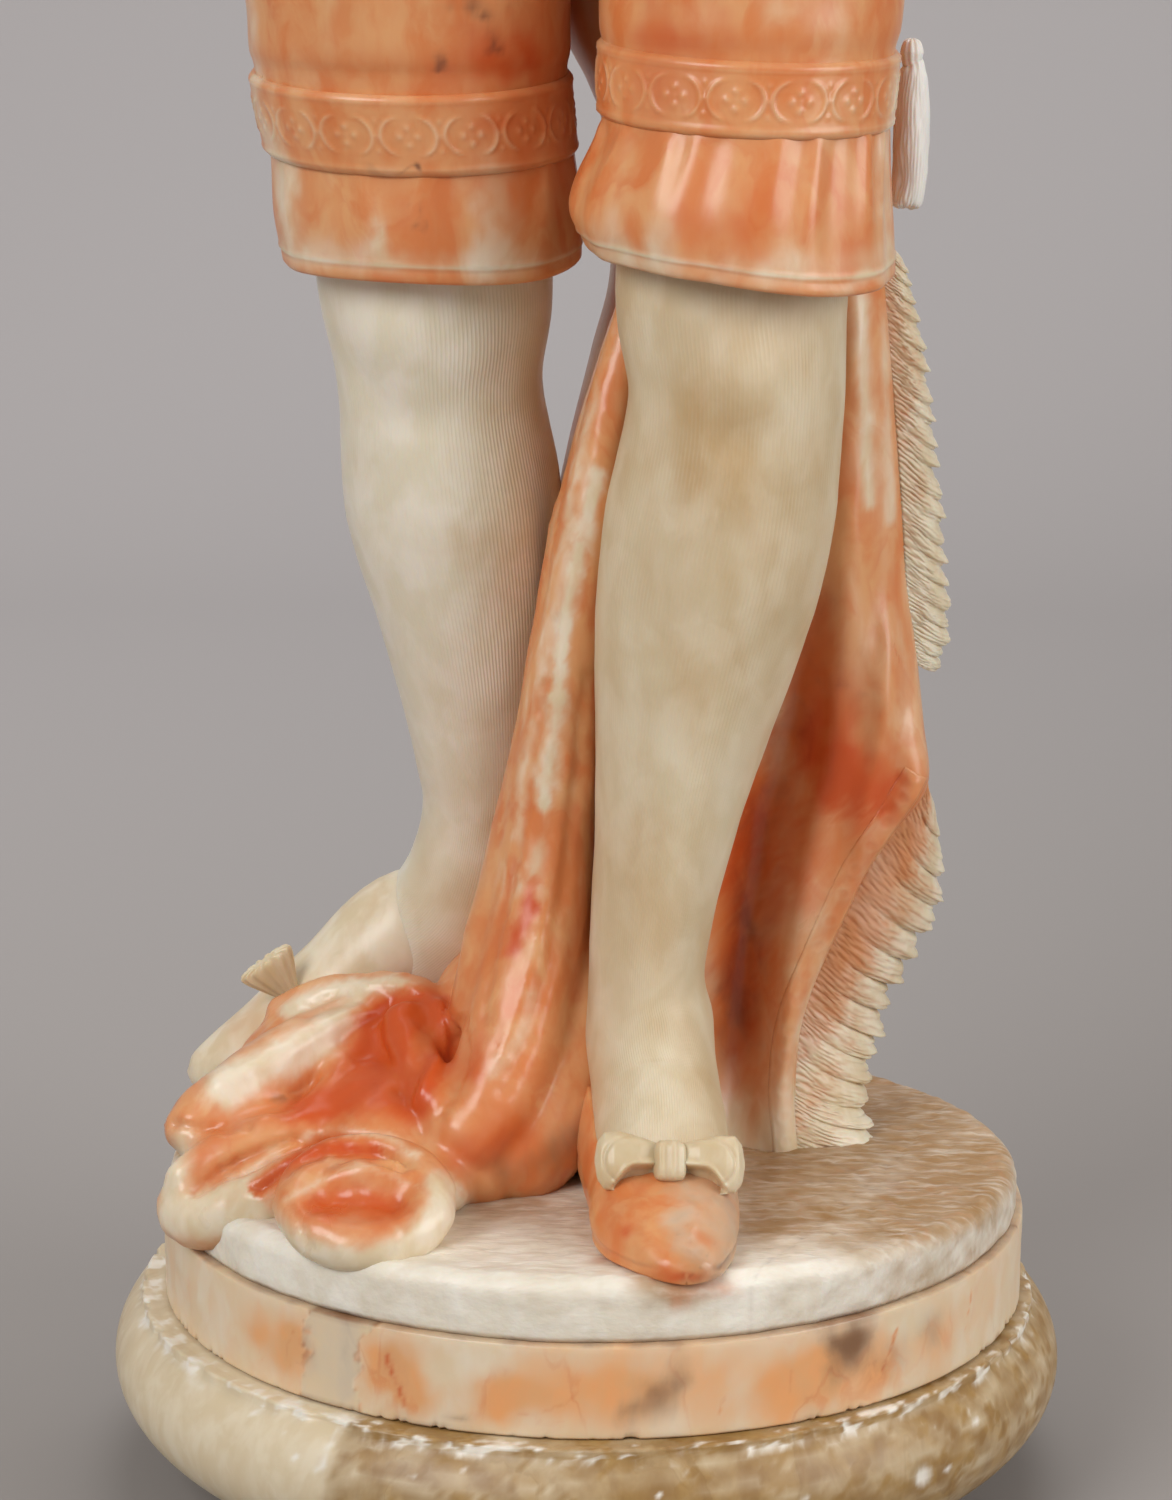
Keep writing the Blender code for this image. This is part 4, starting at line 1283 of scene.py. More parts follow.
def build_lower_half(finish: Finishes) -> None:
    """Build the stockings, breeches, shoes and bows.

    Args:
        finish: every finish.
    """
    Stocking("near_stocking", finish.stocking, ((.049, -.03, .5, .04, .042),
        (.0457, -.033, .448, .0405, .043), (.0478, -.035, .41, .038, .042), (.042, -.03, .362, .0404, .046),
        (.0348, -.03, .32, .0364, .041), (.026, -.033, .265, .0267, .031), (.0188, -.036, .209, .021, .026),
        (.0198, -.04, .182, .022, .0265), (.0222, -.053, .16, .0232, .0262),
        (.0242, -.078, .1465, .0236, .0215), (.0245, -.103, .135, .02, .013), (.025, -.122, .131, .01, .005)),
        ((.048, -.078, .424, .018, .014, .0028), (.046, -.078, .402, .02, .006, -.0012),
        (.033, -.07, .402, .009, .01, .0008), (.06, -.07, .4, .009, .012, .0008),
        (.046, -.072, .385, .01, .02, .001), (-.002, -.038, .178, .01, .012, .0014),
        (.041, -.034, .184, .01, .012, .0016)), ((.034, -.075, .416, .012, .014, .55),
        (.042, -.078, .389, .014, .018, .45), (.012, -.055, .321, .005, .006, .8),
        (.06, -.06, .3, .02, .03, .12), (.02, -.062, .243, .014, .03, .3), (.02, -.062, .19, .02, .02, .15),
        # The first oval here paints the shade down the leg's right side.
        (.075, -.06, .33, .018, .08, .35), (.05, -.09, .44, .03, .014, .25), (.04, -.06, .19, .02, .03, .2)),
        11, .36).build()
    Stocking("far_stocking", finish.far_stocking, ((-.0655, .022, .5, .043, .044),
        (-.0594, .028, .4405, .0425, .044), (-.058, .03, .405, .0375, .042), (-.0535, .036, .362, .04, .046),
        (-.047, .041, .318, .0345, .041), (-.0425, .045, .265, .0262, .03), (-.0436, .047, .236, .0225, .026),
        (-.052, .049, .205, .025, .0265), (-.07, .049, .184, .026, .0225), (-.096, .047, .166, .0225, .0165),
        (-.112, .046, .156, .016, .01)), ((-.07, -.014, .428, .022, .017, .0042),
        (-.046, -.01, .42, .01, .009, .0016), (-.086, -.004, .41, .008, .008, -.0016),
        (-.066, -.01, .398, .02, .008, -.0018), (-.054, -.006, .372, .012, .022, .0014)),
        # Stains and painted light on the far leg: the last two ovals paint the shadow round the ankle, and
        # the two that lighten the knee paint its highlight.
        ((-.052, -.009, .352, .016, .009, .9), (-.03, 0, .33, .015, .05, .35), (-.045, 0, .25, .03, .05, .25),
        (-.075, -.01, .43, .02, .018, -.35), (-.036, -.007, .43, .01, .014, -.2),
        (-.06, 0, .398, .03, .006, .25), (-.04, 0.0, .29, .02, .02, .3), (-.046, .02, .235, .035, .045, .85),
        (-.052, .01, .21, .03, .026, .7)), 17, .17).build()
    Breech("near_breech", finish.cloth, ((.03, 0.0, .712, .03, .04), (.047, -.006, .68, .058, .066),
        (.0505, -.012, .645, .065, .069), (.052, -.02, .595, .059, .063), (.0511, -.028, .547, .0522, .0555),
        (.0498, -.033, .519, .0503, .0515), (.049, -.035, .503, .0503, .0515),
        (.0458, -.037, .484, .0545, .0555), (.0455, -.037, .472, .0562, .057),
        (.0485, -.038, .4605, .054, .056)), .5325, .5083, .0085, .005, .0045, 17, .0021,
        ((.1, -.05, .48, .012, .04, -.4), (.098, -.04, .512, .012, .012, -.3),
        (.02, -.09, .47, .008, .02, -.35), (.066, -.09, .545, .018, .012, -.25),
        (.052, -.085, .47, .008, .03, -.25), (0.0, -.07, .46, .016, .02, -.35),
        (.028, -.09, .455, .02, .004, -.3), (.085, -.07, .456, .02, .005, -.3)),
        ((.008, -.08, .498, .01, .016, .3), (.03, -.09, .478, .01, .014, .26),
        (.044, -.092, .47, .01, .014, .26), (.05, -.09, .482, .012, .016, .22),
        (.012, -.07, .54, .014, .02, .35), (.018, -.085, .518, .014, .008, .3),
        (.07, -.09, .478, .01, .01, .25), (.03, -.085, .535, .014, .012, .3)),
        ((.073, -.078, .536, .004, .006, .3), (.078, -.086, .482, .003, .006, .18)), 23).build()
    Breech("far_breech", finish.cloth, ((-.045, .002, .712, .03, .04), (-.06, .004, .68, .058, .067),
        (-.0665, .006, .645, .066, .07), (-.069, .01, .595, .062, .064), (-.0684, .014, .543, .0575, .058),
        (-.0675, .017, .517, .056, .0555), (-.064, .02, .492, .055, .0545), (-.062, .021, .47, .056, .056),
        (-.0605, .022, .4535, .0545, .055)), .5215, .4945, .0085, 0.0, .009, 9, .0009,
        ((-.112, -.005, .478, .012, .03, -.5), (-.122, 0.0, .545, .01, .05, -.35),
        (-.088, -.027, .458, .014, .01, -.32), (-.038, -.03, .47, .01, .022, -.35),
        (-.076, -.035, .464, .006, .016, -.4), (-.085, -.02, .53, .02, .03, -.12)),
        ((-.024, -.028, .526, .011, .01, .6), (-.044, -.036, .532, .012, .012, .45),
        (-.063, -.036, .47, .012, .018, .32), (-.034, -.03, .505, .012, .008, .4),
        (-.03, -.02, .49, .01, .01, .3), (-.058, -.036, .518, .01, .006, .3)),
        ((-.054, -.04, .5255, .0045, .003, .95), (-.05, -.04, .545, .01, .006, .55),
        (-.04, -.036, .538, .008, .004, .55), (-.066, -.036, .486, .003, .005, .95),
        (-.063, -.036, .474, .0035, .0045, .8), (-.071, -.038, .507, .004, .007, .45),
        (-.076, -.036, .49, .01, .002, .35), (-.045, -.036, .475, .003, .002, .5)), 29).build()
    NearShoe(finish.cloth).build()
    FarShoe(finish.fringe).build()
    Bow("near_shoe_bow", finish.ribbon, (.026, -.113, .156), rows=60, around=84).build()
    RibbonFan(finish.ribbon).build()


# ---------------------------------------------------------------- cape


def wrapped(name: str, parts: Sequence[Array], voxel: float, rounds: int, pull: float = .5,
        ) -> tuple[Piece, Array]:
    """Wrap closed tubes in one even skin and smooth the joins.

    Args:
        name: the piece's name.
        parts: rings of each closed tube.
        voxel: the skin's grain in metres.
        rounds: how often each point moves towards the mean of its neighbours.
        pull: the share of the way it moves.

    Returns:
        The object and its smoothed points.
    """
    points, quads, triangles, start = [], [], [], 0
    for rings in parts:
        own = np.vstack([rings.reshape(-1, 3), rings[0].mean(0), rings[-1].mean(0)])
        four, three = skin_faces(*rings.shape[:2])
        if volume(own, four, three) < 0:
            four, three = four[:, ::-1], three[:, ::-1]
        points.append(own)
        quads.append(four + start)
        triangles.append(three + start)
        start += len(own)
    rough = new_mesh(name + "_forms", np.vstack(points), np.vstack(quads), np.vstack(triangles))
    remesh = rough.modifiers.new("one_skin", "REMESH")
    remesh.mode = "VOXEL"
    remesh.voxel_size = voxel
    evaluated = rough.evaluated_get(bpy.context.evaluated_depsgraph_get())
    mesh = bpy.data.meshes.new_from_object(evaluated)
    bpy.data.objects.remove(rough, do_unlink=True)
    mesh.name = name
    count = len(mesh.vertices)
    co = np.empty(count * 3, np.float32)
    mesh.vertices.foreach_get("co", co)
    co = co.reshape(-1, 3).astype(float)
    edges = np.empty(len(mesh.edges) * 2, np.int32)
    mesh.edges.foreach_get("vertices", edges)
    a, b = edges.reshape(-1, 2).T
    degree = np.bincount(a, minlength=count) + np.bincount(b, minlength=count)
    for _ in range(rounds):
        sums = [np.bincount(a, co[b, k], count) + np.bincount(b, co[a, k], count) for k in range(3)]
        co += pull * (np.stack(sums, -1) / degree[:, None] - co)
    mesh.vertices.foreach_set("co", co.astype(np.float32).ravel())
    mesh.update()
    mesh.shade_smooth()
    made = bpy.data.objects.new(name, mesh)
    bpy.context.scene.collection.objects.link(made)
    return made, co


def normals_of(piece: Piece) -> Array:
    """The vertex normals of a mesh object.

    Args:
        piece: the object.

    Returns:
        A unit vector per vertex.
    """
    flat = np.empty(len(piece.data.vertices) * 3, np.float32)
    piece.data.vertex_normals.foreach_get("vector", flat)
    return flat.reshape(-1, 3).astype(float)


def move_to(piece: Piece, points: Array) -> None:
    """Put a mesh's vertices at new points."""
    piece.data.vertices.foreach_set("co", points.astype(np.float32).ravel())
    piece.data.update()


def blob(centre: Sequence[float], radii: Sequence[float], rows: int = 24, around: int = 32) -> Array:
    """Rings of an ellipsoid, from its lowest point to its highest.

    Args:
        centre: its middle.
        radii: half its size along x, y and z.
        rows: how many rings.
        around: points on each.

    Returns:
        Points shaped (rows, around, 3).
    """
    turn = np.linspace(-math.pi / 2 + .05, math.pi / 2 - .05, rows)[:, None]
    angle = turns(around)
    out = np.cos(turn)
    unit = np.stack([out * np.cos(angle), out * np.sin(angle), np.sin(turn) + 0 * angle], -1)
    return unit * np.array(radii) + np.array(centre)


def limb(stations: Sequence[Sequence[float]], side: Sequence[float] = (1, 0, 0), around: int = 28) -> Array:
    """Rings of a short tube, with small end rings so that it closes round.

    Args:
        stations: x, y, z of the middle, half width, half depth.
        side: the direction of the half widths.
        around: points on each ring.

    Returns:
        Points shaped (rows, around, 3).
    """
    rows = (len(stations) - 1) * 8 + 1
    rings, _ = tube_rings(stations, rows, around, side)
    ends = []
    for ring, inner in ((rings[0], rings[1]), (rings[-1], rings[-2])):
        middle = ring.mean(0)
        away = middle - inner.mean(0)
        size = np.linalg.norm(ring - middle, axis=1).mean()
        away *= .45 * size / max(np.linalg.norm(away), 1e-9)
        ends.append(middle + away + .55 * (ring - middle))
    return np.concatenate([ends[:1], rings, ends[1:]])


@dataclass
class CapeFall:
    """The hanging cape, from behind the shoulder to the ground, with its front folds beside the near leg.

    Each row of `outline` is a height with the left edge, right edge, front and back there. Each fold is a
    path of heights and x, with its width, its rise towards the front, and the heights where it fades in.
    """

    material: Material
    outline: tuple[tuple[float, ...], ...] = (
        (.108, -.042, .079, -.002, .106), (.126, -.046, .0765, -.002, .105), (.142, -.048, .075, -.001, .104),
        (.162, -.05, .076, 0.0, .103), (.178, -.049, .08, 0.0, .102), (.193, -.047, .086, .001, .102),
        (.209, -.044, .093, .002, .101), (.228, -.04, .102, .003, .1), (.244, -.036, .113, .004, .099),
        (.259, -.034, .123, .005, .098), (.28, -.03, .1215, .006, .097), (.307, -.026, .119, .007, .096),
        (.345, -.0185, .1165, .009, .095), (.382, -.011, .113, .012, .095), (.415, -.003, .1105, .015, .095),
        (.448, .004, .107, .018, .096), (.5, 0.0, .105, .024, .098), (.55, -.022, .1055, .03, .1),
        (.65, -.035, .116, .045, .102), (.75, -.035, .128, .045, .096), (.85, -.025, .135, .04, .092),
        (.95, .005, .134, .035, .084), (1.0, .05, .12, .03, .068))
    folds: tuple[tuple, ...] = ((((.12, .069), (.15, .07), (.2, .072), (.24, .0775), (.29, .087), (.36, .092),
        (.45, .0935)), .0085, .006), (((.12, .08), (.25, .1), (.3, .108), (.38, .106), (.45, .101)), .0045,
        .0022), (((.12, .09), (.2, .085), (.26, .11), (.32, .116), (.45, .119)), .006, -.003),
        (((.12, .054), (.19, .055), (.22, .059), (.25, .064), (.29, .074), (.36, .08), (.45, .084)), .0135,
        -.015))
    low_rows: int = 104
    high_rows: int = 44
    around: int = 156

    def at(self, z: Array) -> Array:
        """Left, right, front and back at given heights, along a curve through the outline.

        Args:
            z: heights.

        Returns:
            Four columns.
        """
        line = smooth_rows(self.outline, 900)
        order = np.argsort(line[:, 0])
        return np.stack([np.interp(z, line[order, 0], line[order, k]) for k in range(1, 5)], -1)

    def front(self, x: Array, z: Array) -> Array:
        """How far forward the cloth lies: the outline's front less each fold's bell, and fine waves.

        Args:
            x: distances to the side.
            z: heights.

        Returns:
            The front's y.
        """
        y = self.at(z)[..., 2]
        for path, width, rise in self.folds:
            line = np.array(path)
            centre = np.interp(z, line[:, 0], line[:, 1])
            strength = soft_step(z, .1, .16) * (1 - soft_step(z, .46, .56))
            if rise < -.01:
                strength = strength * (.15 + .85 * (1 - soft_step(z, .25, .36)))
            y = y - rise * strength * bell(x, centre, width)
        ripple = waves(np.stack([x, z * .35], -1), .045, 101)
        return y - .0016 * ripple

    def bend(self, x: Array, z: Array) -> tuple[Array, Array, Array]:
        """The front, the depth where front and back meet, and the share of the way to either.

        The share falls to zero at both edges. Over the hem the right edge stays flat and turns sharply.

        Args:
            x: distances to the side.
            z: heights.

        Returns:
            The front's y, the meeting's y, and the share.
        """
        left, right, _, back = np.moveaxis(self.at(z), -1, 0)
        u = np.clip((x - (left + right) / 2) / ((right - left) / 2), -1, 1)
        hem = soft_step(u, 0.0, .8) * (1 - soft_step(z, .24, .34))
        fore = self.front(x, z)
        edge = fore + .35 * (back - fore) * soft_step(z, .1, .3) * (1 - hem) + .01
        sharp = np.minimum(6 * np.sqrt(np.clip(1 - np.abs(u) ** 2.5, 0, 1)), 1) ** .5
        return fore, edge, np.sqrt(np.clip(1 - np.abs(u) ** (5 + 11 * hem), 0, 1)) * sharp

    def rings(self) -> Array:
        """Horizontal sections: the front and back surfaces meet in round edges.

        Returns:
            Points shaped (rows, around, 3).
        """
        low = np.linspace(.108, .465, self.low_rows)
        z = np.concatenate([low, np.linspace(low[-1], 1.0, self.high_rows)[1:]])[:, None]
        angle = turns(self.around)[None]
        left, right, _, back = (self.at(z[:, 0])[:, k:k + 1] for k in range(4))
        c, s = np.cos(angle), np.sin(angle)
        u = np.sign(c) * np.abs(c) ** .8
        x = (left + right) / 2 + (right - left) / 2 * u
        fore, edge, closing = self.bend(x, z + 0 * x)
        fuller = .35 + .65 * soft_step(1.0 - z, .1, .7)
        pleats = .0085 * np.sin(x * 210 + 2.5 * z + .8 * np.sin(9 * z)) * fuller
        rear = back + pleats + .003 * waves(np.stack([x, .3 * z + 0 * x], -1), .06, 103)
        y = edge + np.where(s < 0, fore - edge, rear - edge) * closing
        return np.stack([x, y, z + 0 * x], -1)

    def build(self) -> None:
        """Make the closed fall and paint it."""
        rings = self.rings()
        dress(closed_skin("cape_fall", rings, self.tones(rings)), self.material)

    def tones(self, rings: Array) -> Array:
        """Even pinkish orange above, deep orange over the hem, cream where it meets the ground. Painted
        highlights run down two ridges near the right edge, and painted shade lies in the valley and recess
        beside the near leg.

        Args:
            rings: points shaped (rows, around, 3).

        Returns:
            The three tones of each point.
        """
        z = rings[..., 2]
        streak = waves(rings * (1, 1, .35), .035, 105)
        flat = slanted(rings)
        # Painted highlights: two paler strokes down the ridges near the right edge, above the hem.
        pale = stroke(flat, ((.0945, .445), (.096, .41), (.0985, .37)), .003) + .8 * stroke(
            flat, ((.103, .445), (.105, .405), (.107, .365)), .0026)
        stain = .66 + .2 * streak - .36 * pale + patches(rings, ((.062, .01, .125, .03, .018, -.5),
            (.078, 0.0, .165, .006, .03, -.2), (.085, .01, .12, .01, .02, -.35)), 106)
        deep = .06 + .12 * streak + patches(rings, ((.098, .004, .262, .016, .018, .75),
            (.084, .002, .27, .014, .022, .55), (.078, .004, .225, .01, .02, .45),
            (.108, .008, .25, .01, .01, .4), (.088, .004, .3, .014, .02, .3),
            (.062, .02, .15, .008, .022, .35), (.05, .02, .24, .013, .08, .62),
            (.11, .01, .4, .004, .06, .2)), 107, .01)
        # Painted shade in the valley beside the near leg: deeper red and darker. The long dark ovals by the
        # leg also paint the shade of its recess; the small ones are marks in the stone.
        valley_shade = stroke(flat, ((.078, .33), (.075, .298), (.064, .259), (.059, .228), (.055, .197),
            (.054, .165)), .011, .002)
        deep = deep + .4 * valley_shade
        dark = .24 * valley_shade + patches(rings, ((.106, .01, .346, .005, .004, .5),
            (.085, .004, .297, .004, .004, .4), (.094, .004, .293, .004, .003, .2),
            (.05, .03, .24, .011, .09, .48), (.066, .02, .27, .01, .04, .12),
            (.045, .02, .17, .02, .05, .22)), 108)
        return tones_of(stain, deep, dark * (z < .5))


@dataclass
class HemBorder:
    """A narrow embroidered strip carved along the hem: two thin cords with small scrolls between them."""

    material: Material
    fall: CapeFall
    hem: tuple[tuple[float, float], ...]
    wide: float = .0105
    rise: float = .0003

    def build(self) -> None:
        """Lay a thin closed strip on the cape's front. Its relief follows distances along and across it."""
        rows, across = 220, 22
        line = smooth_rows(self.hem, rows)
        tangent = np.gradient(line, axis=0)
        tangent /= np.linalg.norm(tangent, axis=1)[:, None]
        inward = np.stack([tangent[:, 1], -tangent[:, 0]], -1)
        inward *= np.sign(-inward[:, :1])
        along = np.concatenate([[0], np.cumsum(np.linalg.norm(np.diff(line, axis=0), axis=1))])[:, None]
        t = np.linspace(0, 1, across)[None]
        reach = t * self.wide
        x = line[:, :1] + inward[:, :1] * reach
        z = line[:, 1:] + inward[:, 1:] * reach
        cord = bell(t, .07, .06) + .8 * bell(t, .9, .05)
        turn = along / .0105 * 2 * math.pi + 1.2 * waves(np.stack([along, 0 * along], -1), .05, 109)
        away = np.hypot((t - .48) * 2.3, np.sin(turn / 2) * .9)
        relief = .00026 * (.9 * cord + .9 * bell(away, .6, .26) + .5 * bell(away, 0.0, .25))
        ends = np.minimum(np.minimum(t, 1 - t) * 9, 1) ** .5
        fore, edge, closing = self.fall.bend(x, z)
        y = edge + (fore - edge) * closing
        front = np.stack([x, y - (self.rise * ends + relief * ends), z], -1)
        rear = np.stack([x, y + .004, z], -1)[:, ::-1]
        rings = np.concatenate([front, rear], 1)
        raised = np.concatenate([relief, relief[:, ::-1]], 1) / .0004
        tones = self.fall.tones(rings) - (.1, .08, 0.0) * raised[..., None]
        dress(closed_skin("cape_hem_border", rings, tones), self.material)


@dataclass
class Fringe:
    """A carved fringe: strands combed from a root line to a scalloped tip line, gathered in small locks.

    `roots` and `tips` are matching x, y, z places. `sag` bows the strands away from the straight line.
    """

    name: str
    material: Material
    roots: tuple[tuple[float, float, float], ...]
    tips: tuple[tuple[float, float, float], ...]
    sag: tuple[float, float]
    locks: int
    thick: float
    seed: int
    tinge: float = 0.0
    per_lock: int = 24
    across: int = 19

    def build(self) -> None:
        """Rings run across the strip, out over the front and back behind it. Rows follow the hem."""
        rows = self.locks * self.per_lock
        root, tip = smooth_rows(self.roots, rows)[:, None], smooth_rows(self.tips, rows)[:, None]
        s = np.arange(rows)[:, None] / self.per_lock
        place = np.stack([s * .5, 0 * s], -1)
        jitter = .3 * waves(place, 1.3, self.seed)
        lock = (s + jitter) % 1.0
        tooth = np.minimum(lock / .62, (1 - lock) / .38) ** .8
        ragged = np.abs(np.sin(math.pi * 3.0 * s + 2.0 * waves(place, .7, self.seed + 3)))
        longer = 1 + .17 * (tooth - .55) + .05 * (ragged - .5) + .09 * waves(place, 1.3, self.seed + 1)
        t = np.linspace(0, 1, self.across)[None, :]
        chord = tip - root
        size = np.linalg.norm(chord, axis=-1)
        base = root + chord * (t * longer)[..., None]
        bow = np.sin(math.pi * t) * size
        base = base + bow[..., None] * np.array([self.sag[0], 0, self.sag[1]])
        coarse = np.sin(math.pi * np.clip(lock + .1 * np.sin(3 * t), 0, 1)) ** .5 * soft_step(t, .05, .6)
        sway = waves(np.stack([s + 0 * t, 2.5 * t + 0 * s], -1), 1.6, self.seed + 2)
        strand = np.abs(np.sin(math.pi * (4.0 * s + 1.1 * sway))) ** .7
        depth = .0019 * coarse + .0009 * strand - .001
        rounding = self.thick * .5 * (1 - np.sqrt(np.clip(1 - t**6, 0, 1)))
        front = base.copy()
        front[..., 1] += rounding - depth - .0015 * np.sin(math.pi * t)
        rear = base.copy()
        rear[..., 1] += self.thick - rounding + .5 * depth
        rings = np.concatenate([front, rear[:, ::-1]], 1)
        fade = np.concatenate([t + 0 * s, (t + 0 * s)[:, ::-1]], 1)
        ridge = np.concatenate([strand, strand[:, ::-1]], 1)
        flush = self.tinge * (1 - .75 * soft_step(s / self.locks, .4, .8))
        stain = .06 + flush * (1 - soft_step(fade, -.1, 1.15)) + .3 * (1 - ridge) * (1 - .5 * fade)
        stain = stain + .14 * waves(rings, .02, self.seed)
        dark = .12 * (1 - ridge) * (1 - .4 * fade)
        deep = .22 * flush * (1 - ridge) * (1 - fade)
        dress(closed_skin(self.name, rings, tones_of(stain, deep, dark)), self.material)


@dataclass
class Tassel:
    """A hanging tassel beside the near garter: a knob, a bound neck and a skirt of straight strands."""

    material: Material
    x: float = .1095
    y: float = .022

    def build(self) -> None:
        """Sweep round sections down the tassel and groove them lengthwise."""
        stations = ((self.x + .001, self.y, .5312, .001, .001), (self.x + .001, self.y, .53, .003, .0036),
            (self.x + .0011, self.y, .5266, .0041, .005), (self.x + .0012, self.y, .5234, .0036, .0044),
            (self.x + .0018, self.y, .5214, .004, .005), (self.x + .0015, self.y, .516, .0056, .0068),
            (self.x + .0015, self.y, .5, .0063, .0078), (self.x + .0015, self.y, .483, .0061, .0078),
            (self.x + .0004, self.y, .4735, .0056, .0072), (self.x + .0002, self.y, .4712, .0028, .0035))
        rings, angle = tube_rings(stations, 76, 110)
        skirt = soft_step(-rings[..., 2], -.522, -.515)
        wobble = waves(rings * (1, 1, .3), .012, 121)
        strand = np.abs(np.sin(angle * 15 + 3.4 * wobble)) ** .7
        rings = swell(rings, skirt * (.0004 * strand - .0002 + .0005 * wobble)
            + (1 - skirt) * .00015 * np.sin(angle * 10))
        rings[..., 2] -= .0016 * waves(circle(angle), .6, 122) * soft_step(-rings[..., 2], -.48, -.472)
        stain = -.1 + .06 * (1 - strand) + 0 * skirt
        dark = .05 * (1 - strand) * skirt
        dress(closed_skin("tassel", rings, tones_of(stain, 0.0, dark)), self.material)


@dataclass
class CapeSweep:
    """The cape's front fold between the legs, and the pile it gathers in over the far foot.

    Tubes and ellipsoids are wrapped in one skin and smoothed. `carving`, `cream` and `red` are lines on the
    slanted plane, each with its half width and strength. The first moves the skin along its normals, the
    others tint it.
    """

    material: Material
    voxel: float = .0018

    carving: ClassVar[Strokes] = ((((-.1138, .1749), (-.0988, .1828), (-.0831, .1844), (-.0718, .1845),
        (-.0625, .1813), (-.0569, .1754)), .0024, .0012), (((-.105, .175), (-.096, .178), (-.087, .1795)),
        .0038, -.0022), (((-.0771, .1771), (-.0896, .1733), (-.1061, .162), (-.1212, .1536), (-.1356, .1472)),
        .004, .0014), (((-.1519, .1305), (-.1437, .1287), (-.1355, .128), (-.124, .1288)), .0018, -.002),
        (((-.1534, .1086), (-.1457, .1174), (-.1348, .1257), (-.1175, .1319)), .0028, .0012),
        (((-.1423, .1053), (-.1332, .1121), (-.1198, .1198), (-.1065, .1248)), .0022, -.0032),
        (((-.1318, .1065), (-.1187, .1176), (-.1039, .126), (-.0903, .128), (-.0742, .1262), (-.0627, .1191),
        (-.0548, .1093), (-.0505, .0964)), .0026, .001), (((-.1178, .1066), (-.1062, .1161), (-.0925, .1215),
        (-.0774, .1201), (-.067, .115)), .0028, -.0034), (((-.098, .101), (-.088, .1035), (-.078, .1035),
        (-.069, .102)), .004, -.0028), (((-.1052, .1017), (-.101, .0934), (-.0964, .085)), .0012, -.0009),
        (((-.0628, .0998), (-.0653, .0914), (-.0686, .0826)), .0012, -.0009),
        (((-.0569, .1761), (-.0551, .1661), (-.0558, .1567), (-.0601, .1474), (-.0637, .1379)), .0022, .0018),
        (((-.064, .173), (-.062, .164), (-.064, .154), (-.069, .144)), .004, -.0016),
        (((-.048, .17), (-.047, .158), (-.05, .145), (-.056, .135)), .0024, -.0016),
        (((-.015, .32), (-.0215, .275), (-.029, .23), (-.037, .195), (-.04, .17)), .0018, -.0014),
        (((-.004, .3), (-.0085, .25), (-.014, .205), (-.022, .168), (-.032, .143)), .0024, -.0009),
        (((-.0105, .27), (-.016, .225), (-.024, .185), (-.033, .156)), .0022, .0008))
    cream: ClassVar[Strokes] = ((((-.0771, .1755), (-.0896, .171), (-.1061, .16), (-.1212, .1515),
        (-.133, .145)), .0075, -.85), (((-.1138, .1749), (-.0988, .1828), (-.0831, .1844), (-.0718, .1845),
        (-.064, .182)), .0032, -.55), (((-.1492, .1241), (-.1512, .1071)), .0045, -.4),
        (((-.1534, .1086), (-.1457, .1174)), .0028, -.25), (((-.1503, .0957), (-.141, .0931), (-.1309, .0939),
        (-.123, .098)), .008, -.62), (((-.144, .101), (-.134, .104), (-.124, .11), (-.114, .118)), .003,
        -.35), (((-.1101, .086), (-.0957, .079), (-.0791, .0775), (-.0614, .084), (-.0523, .0945)), .0072,
        -.95), (((-.0523, .0945), (-.05, .101), (-.054, .109)), .004, -.6),
        (((-.1039, .126), (-.0903, .128), (-.0742, .1262), (-.0627, .1191)), .002, -.35),
        (((-.1067, .1029), (-.0926, .1106), (-.0789, .1152), (-.0617, .107)), .0012, -.22),
        # A painted highlight down the bright ridge beside the near leg.
        (((-.0006, .373), (-.005, .352), (-.0111, .3205), (-.016, .2726), (-.0184, .2523)), .003, -.62),
        (((-.004, .4), (-.0135, .345), (-.0215, .295), (-.03, .24)), .0026, -.25),
        (((-.0362, .1513), (-.0273, .1625), (-.0235, .18)), .003, -.25),
        (((-.0245, .22), (-.0215, .235)), .004, -.35))
    red: ClassVar[Strokes] = ((((-.0569, .1761), (-.0551, .1661), (-.0558, .1567), (-.0601, .1474),
        (-.0637, .1379)), .005, .6), (((-.079, .165), (-.086, .153), (-.094, .14)), .0085, .7),
        (((-.074, .164), (-.072, .145)), .008, .6), (((-.074, .174), (-.0647, .1772)), .007, .8),
        (((-.1178, .1066), (-.1062, .1161), (-.0925, .1215), (-.0774, .1201)), .0036, .75),
        (((-.098, .1), (-.088, .103), (-.078, .103), (-.068, .1)), .005, .62),
        (((-.09, .095), (-.074, .095)), .0045, .3), (((-.1421, .1166), (-.1275, .1318), (-.106, .1358)),
        .0055, .4), (((-.1423, .1053), (-.1332, .1121), (-.1198, .1198)), .0022, .35),
        (((-.106, .1358), (-.085, .138), (-.065, .133)), .005, .3),
        (((-.0221, .2125), (-.0274, .2052), (-.0302, .1959)), .003, .7),
        (((-.0215, .224), (-.024, .215)), .002, .5), (((-.0469, .1192), (-.0379, .1212), (-.028, .126)), .008,
        .55), (((-.05, .15), (-.036, .142), (-.025, .15)), .01, .3), (((-.04, .17), (-.043, .15)), .003, .35),
        (((-.008, .25), (-.006, .21), (-.008, .18)), .003, .35), (((-.029, .23), (-.037, .195)), .0022, .4))

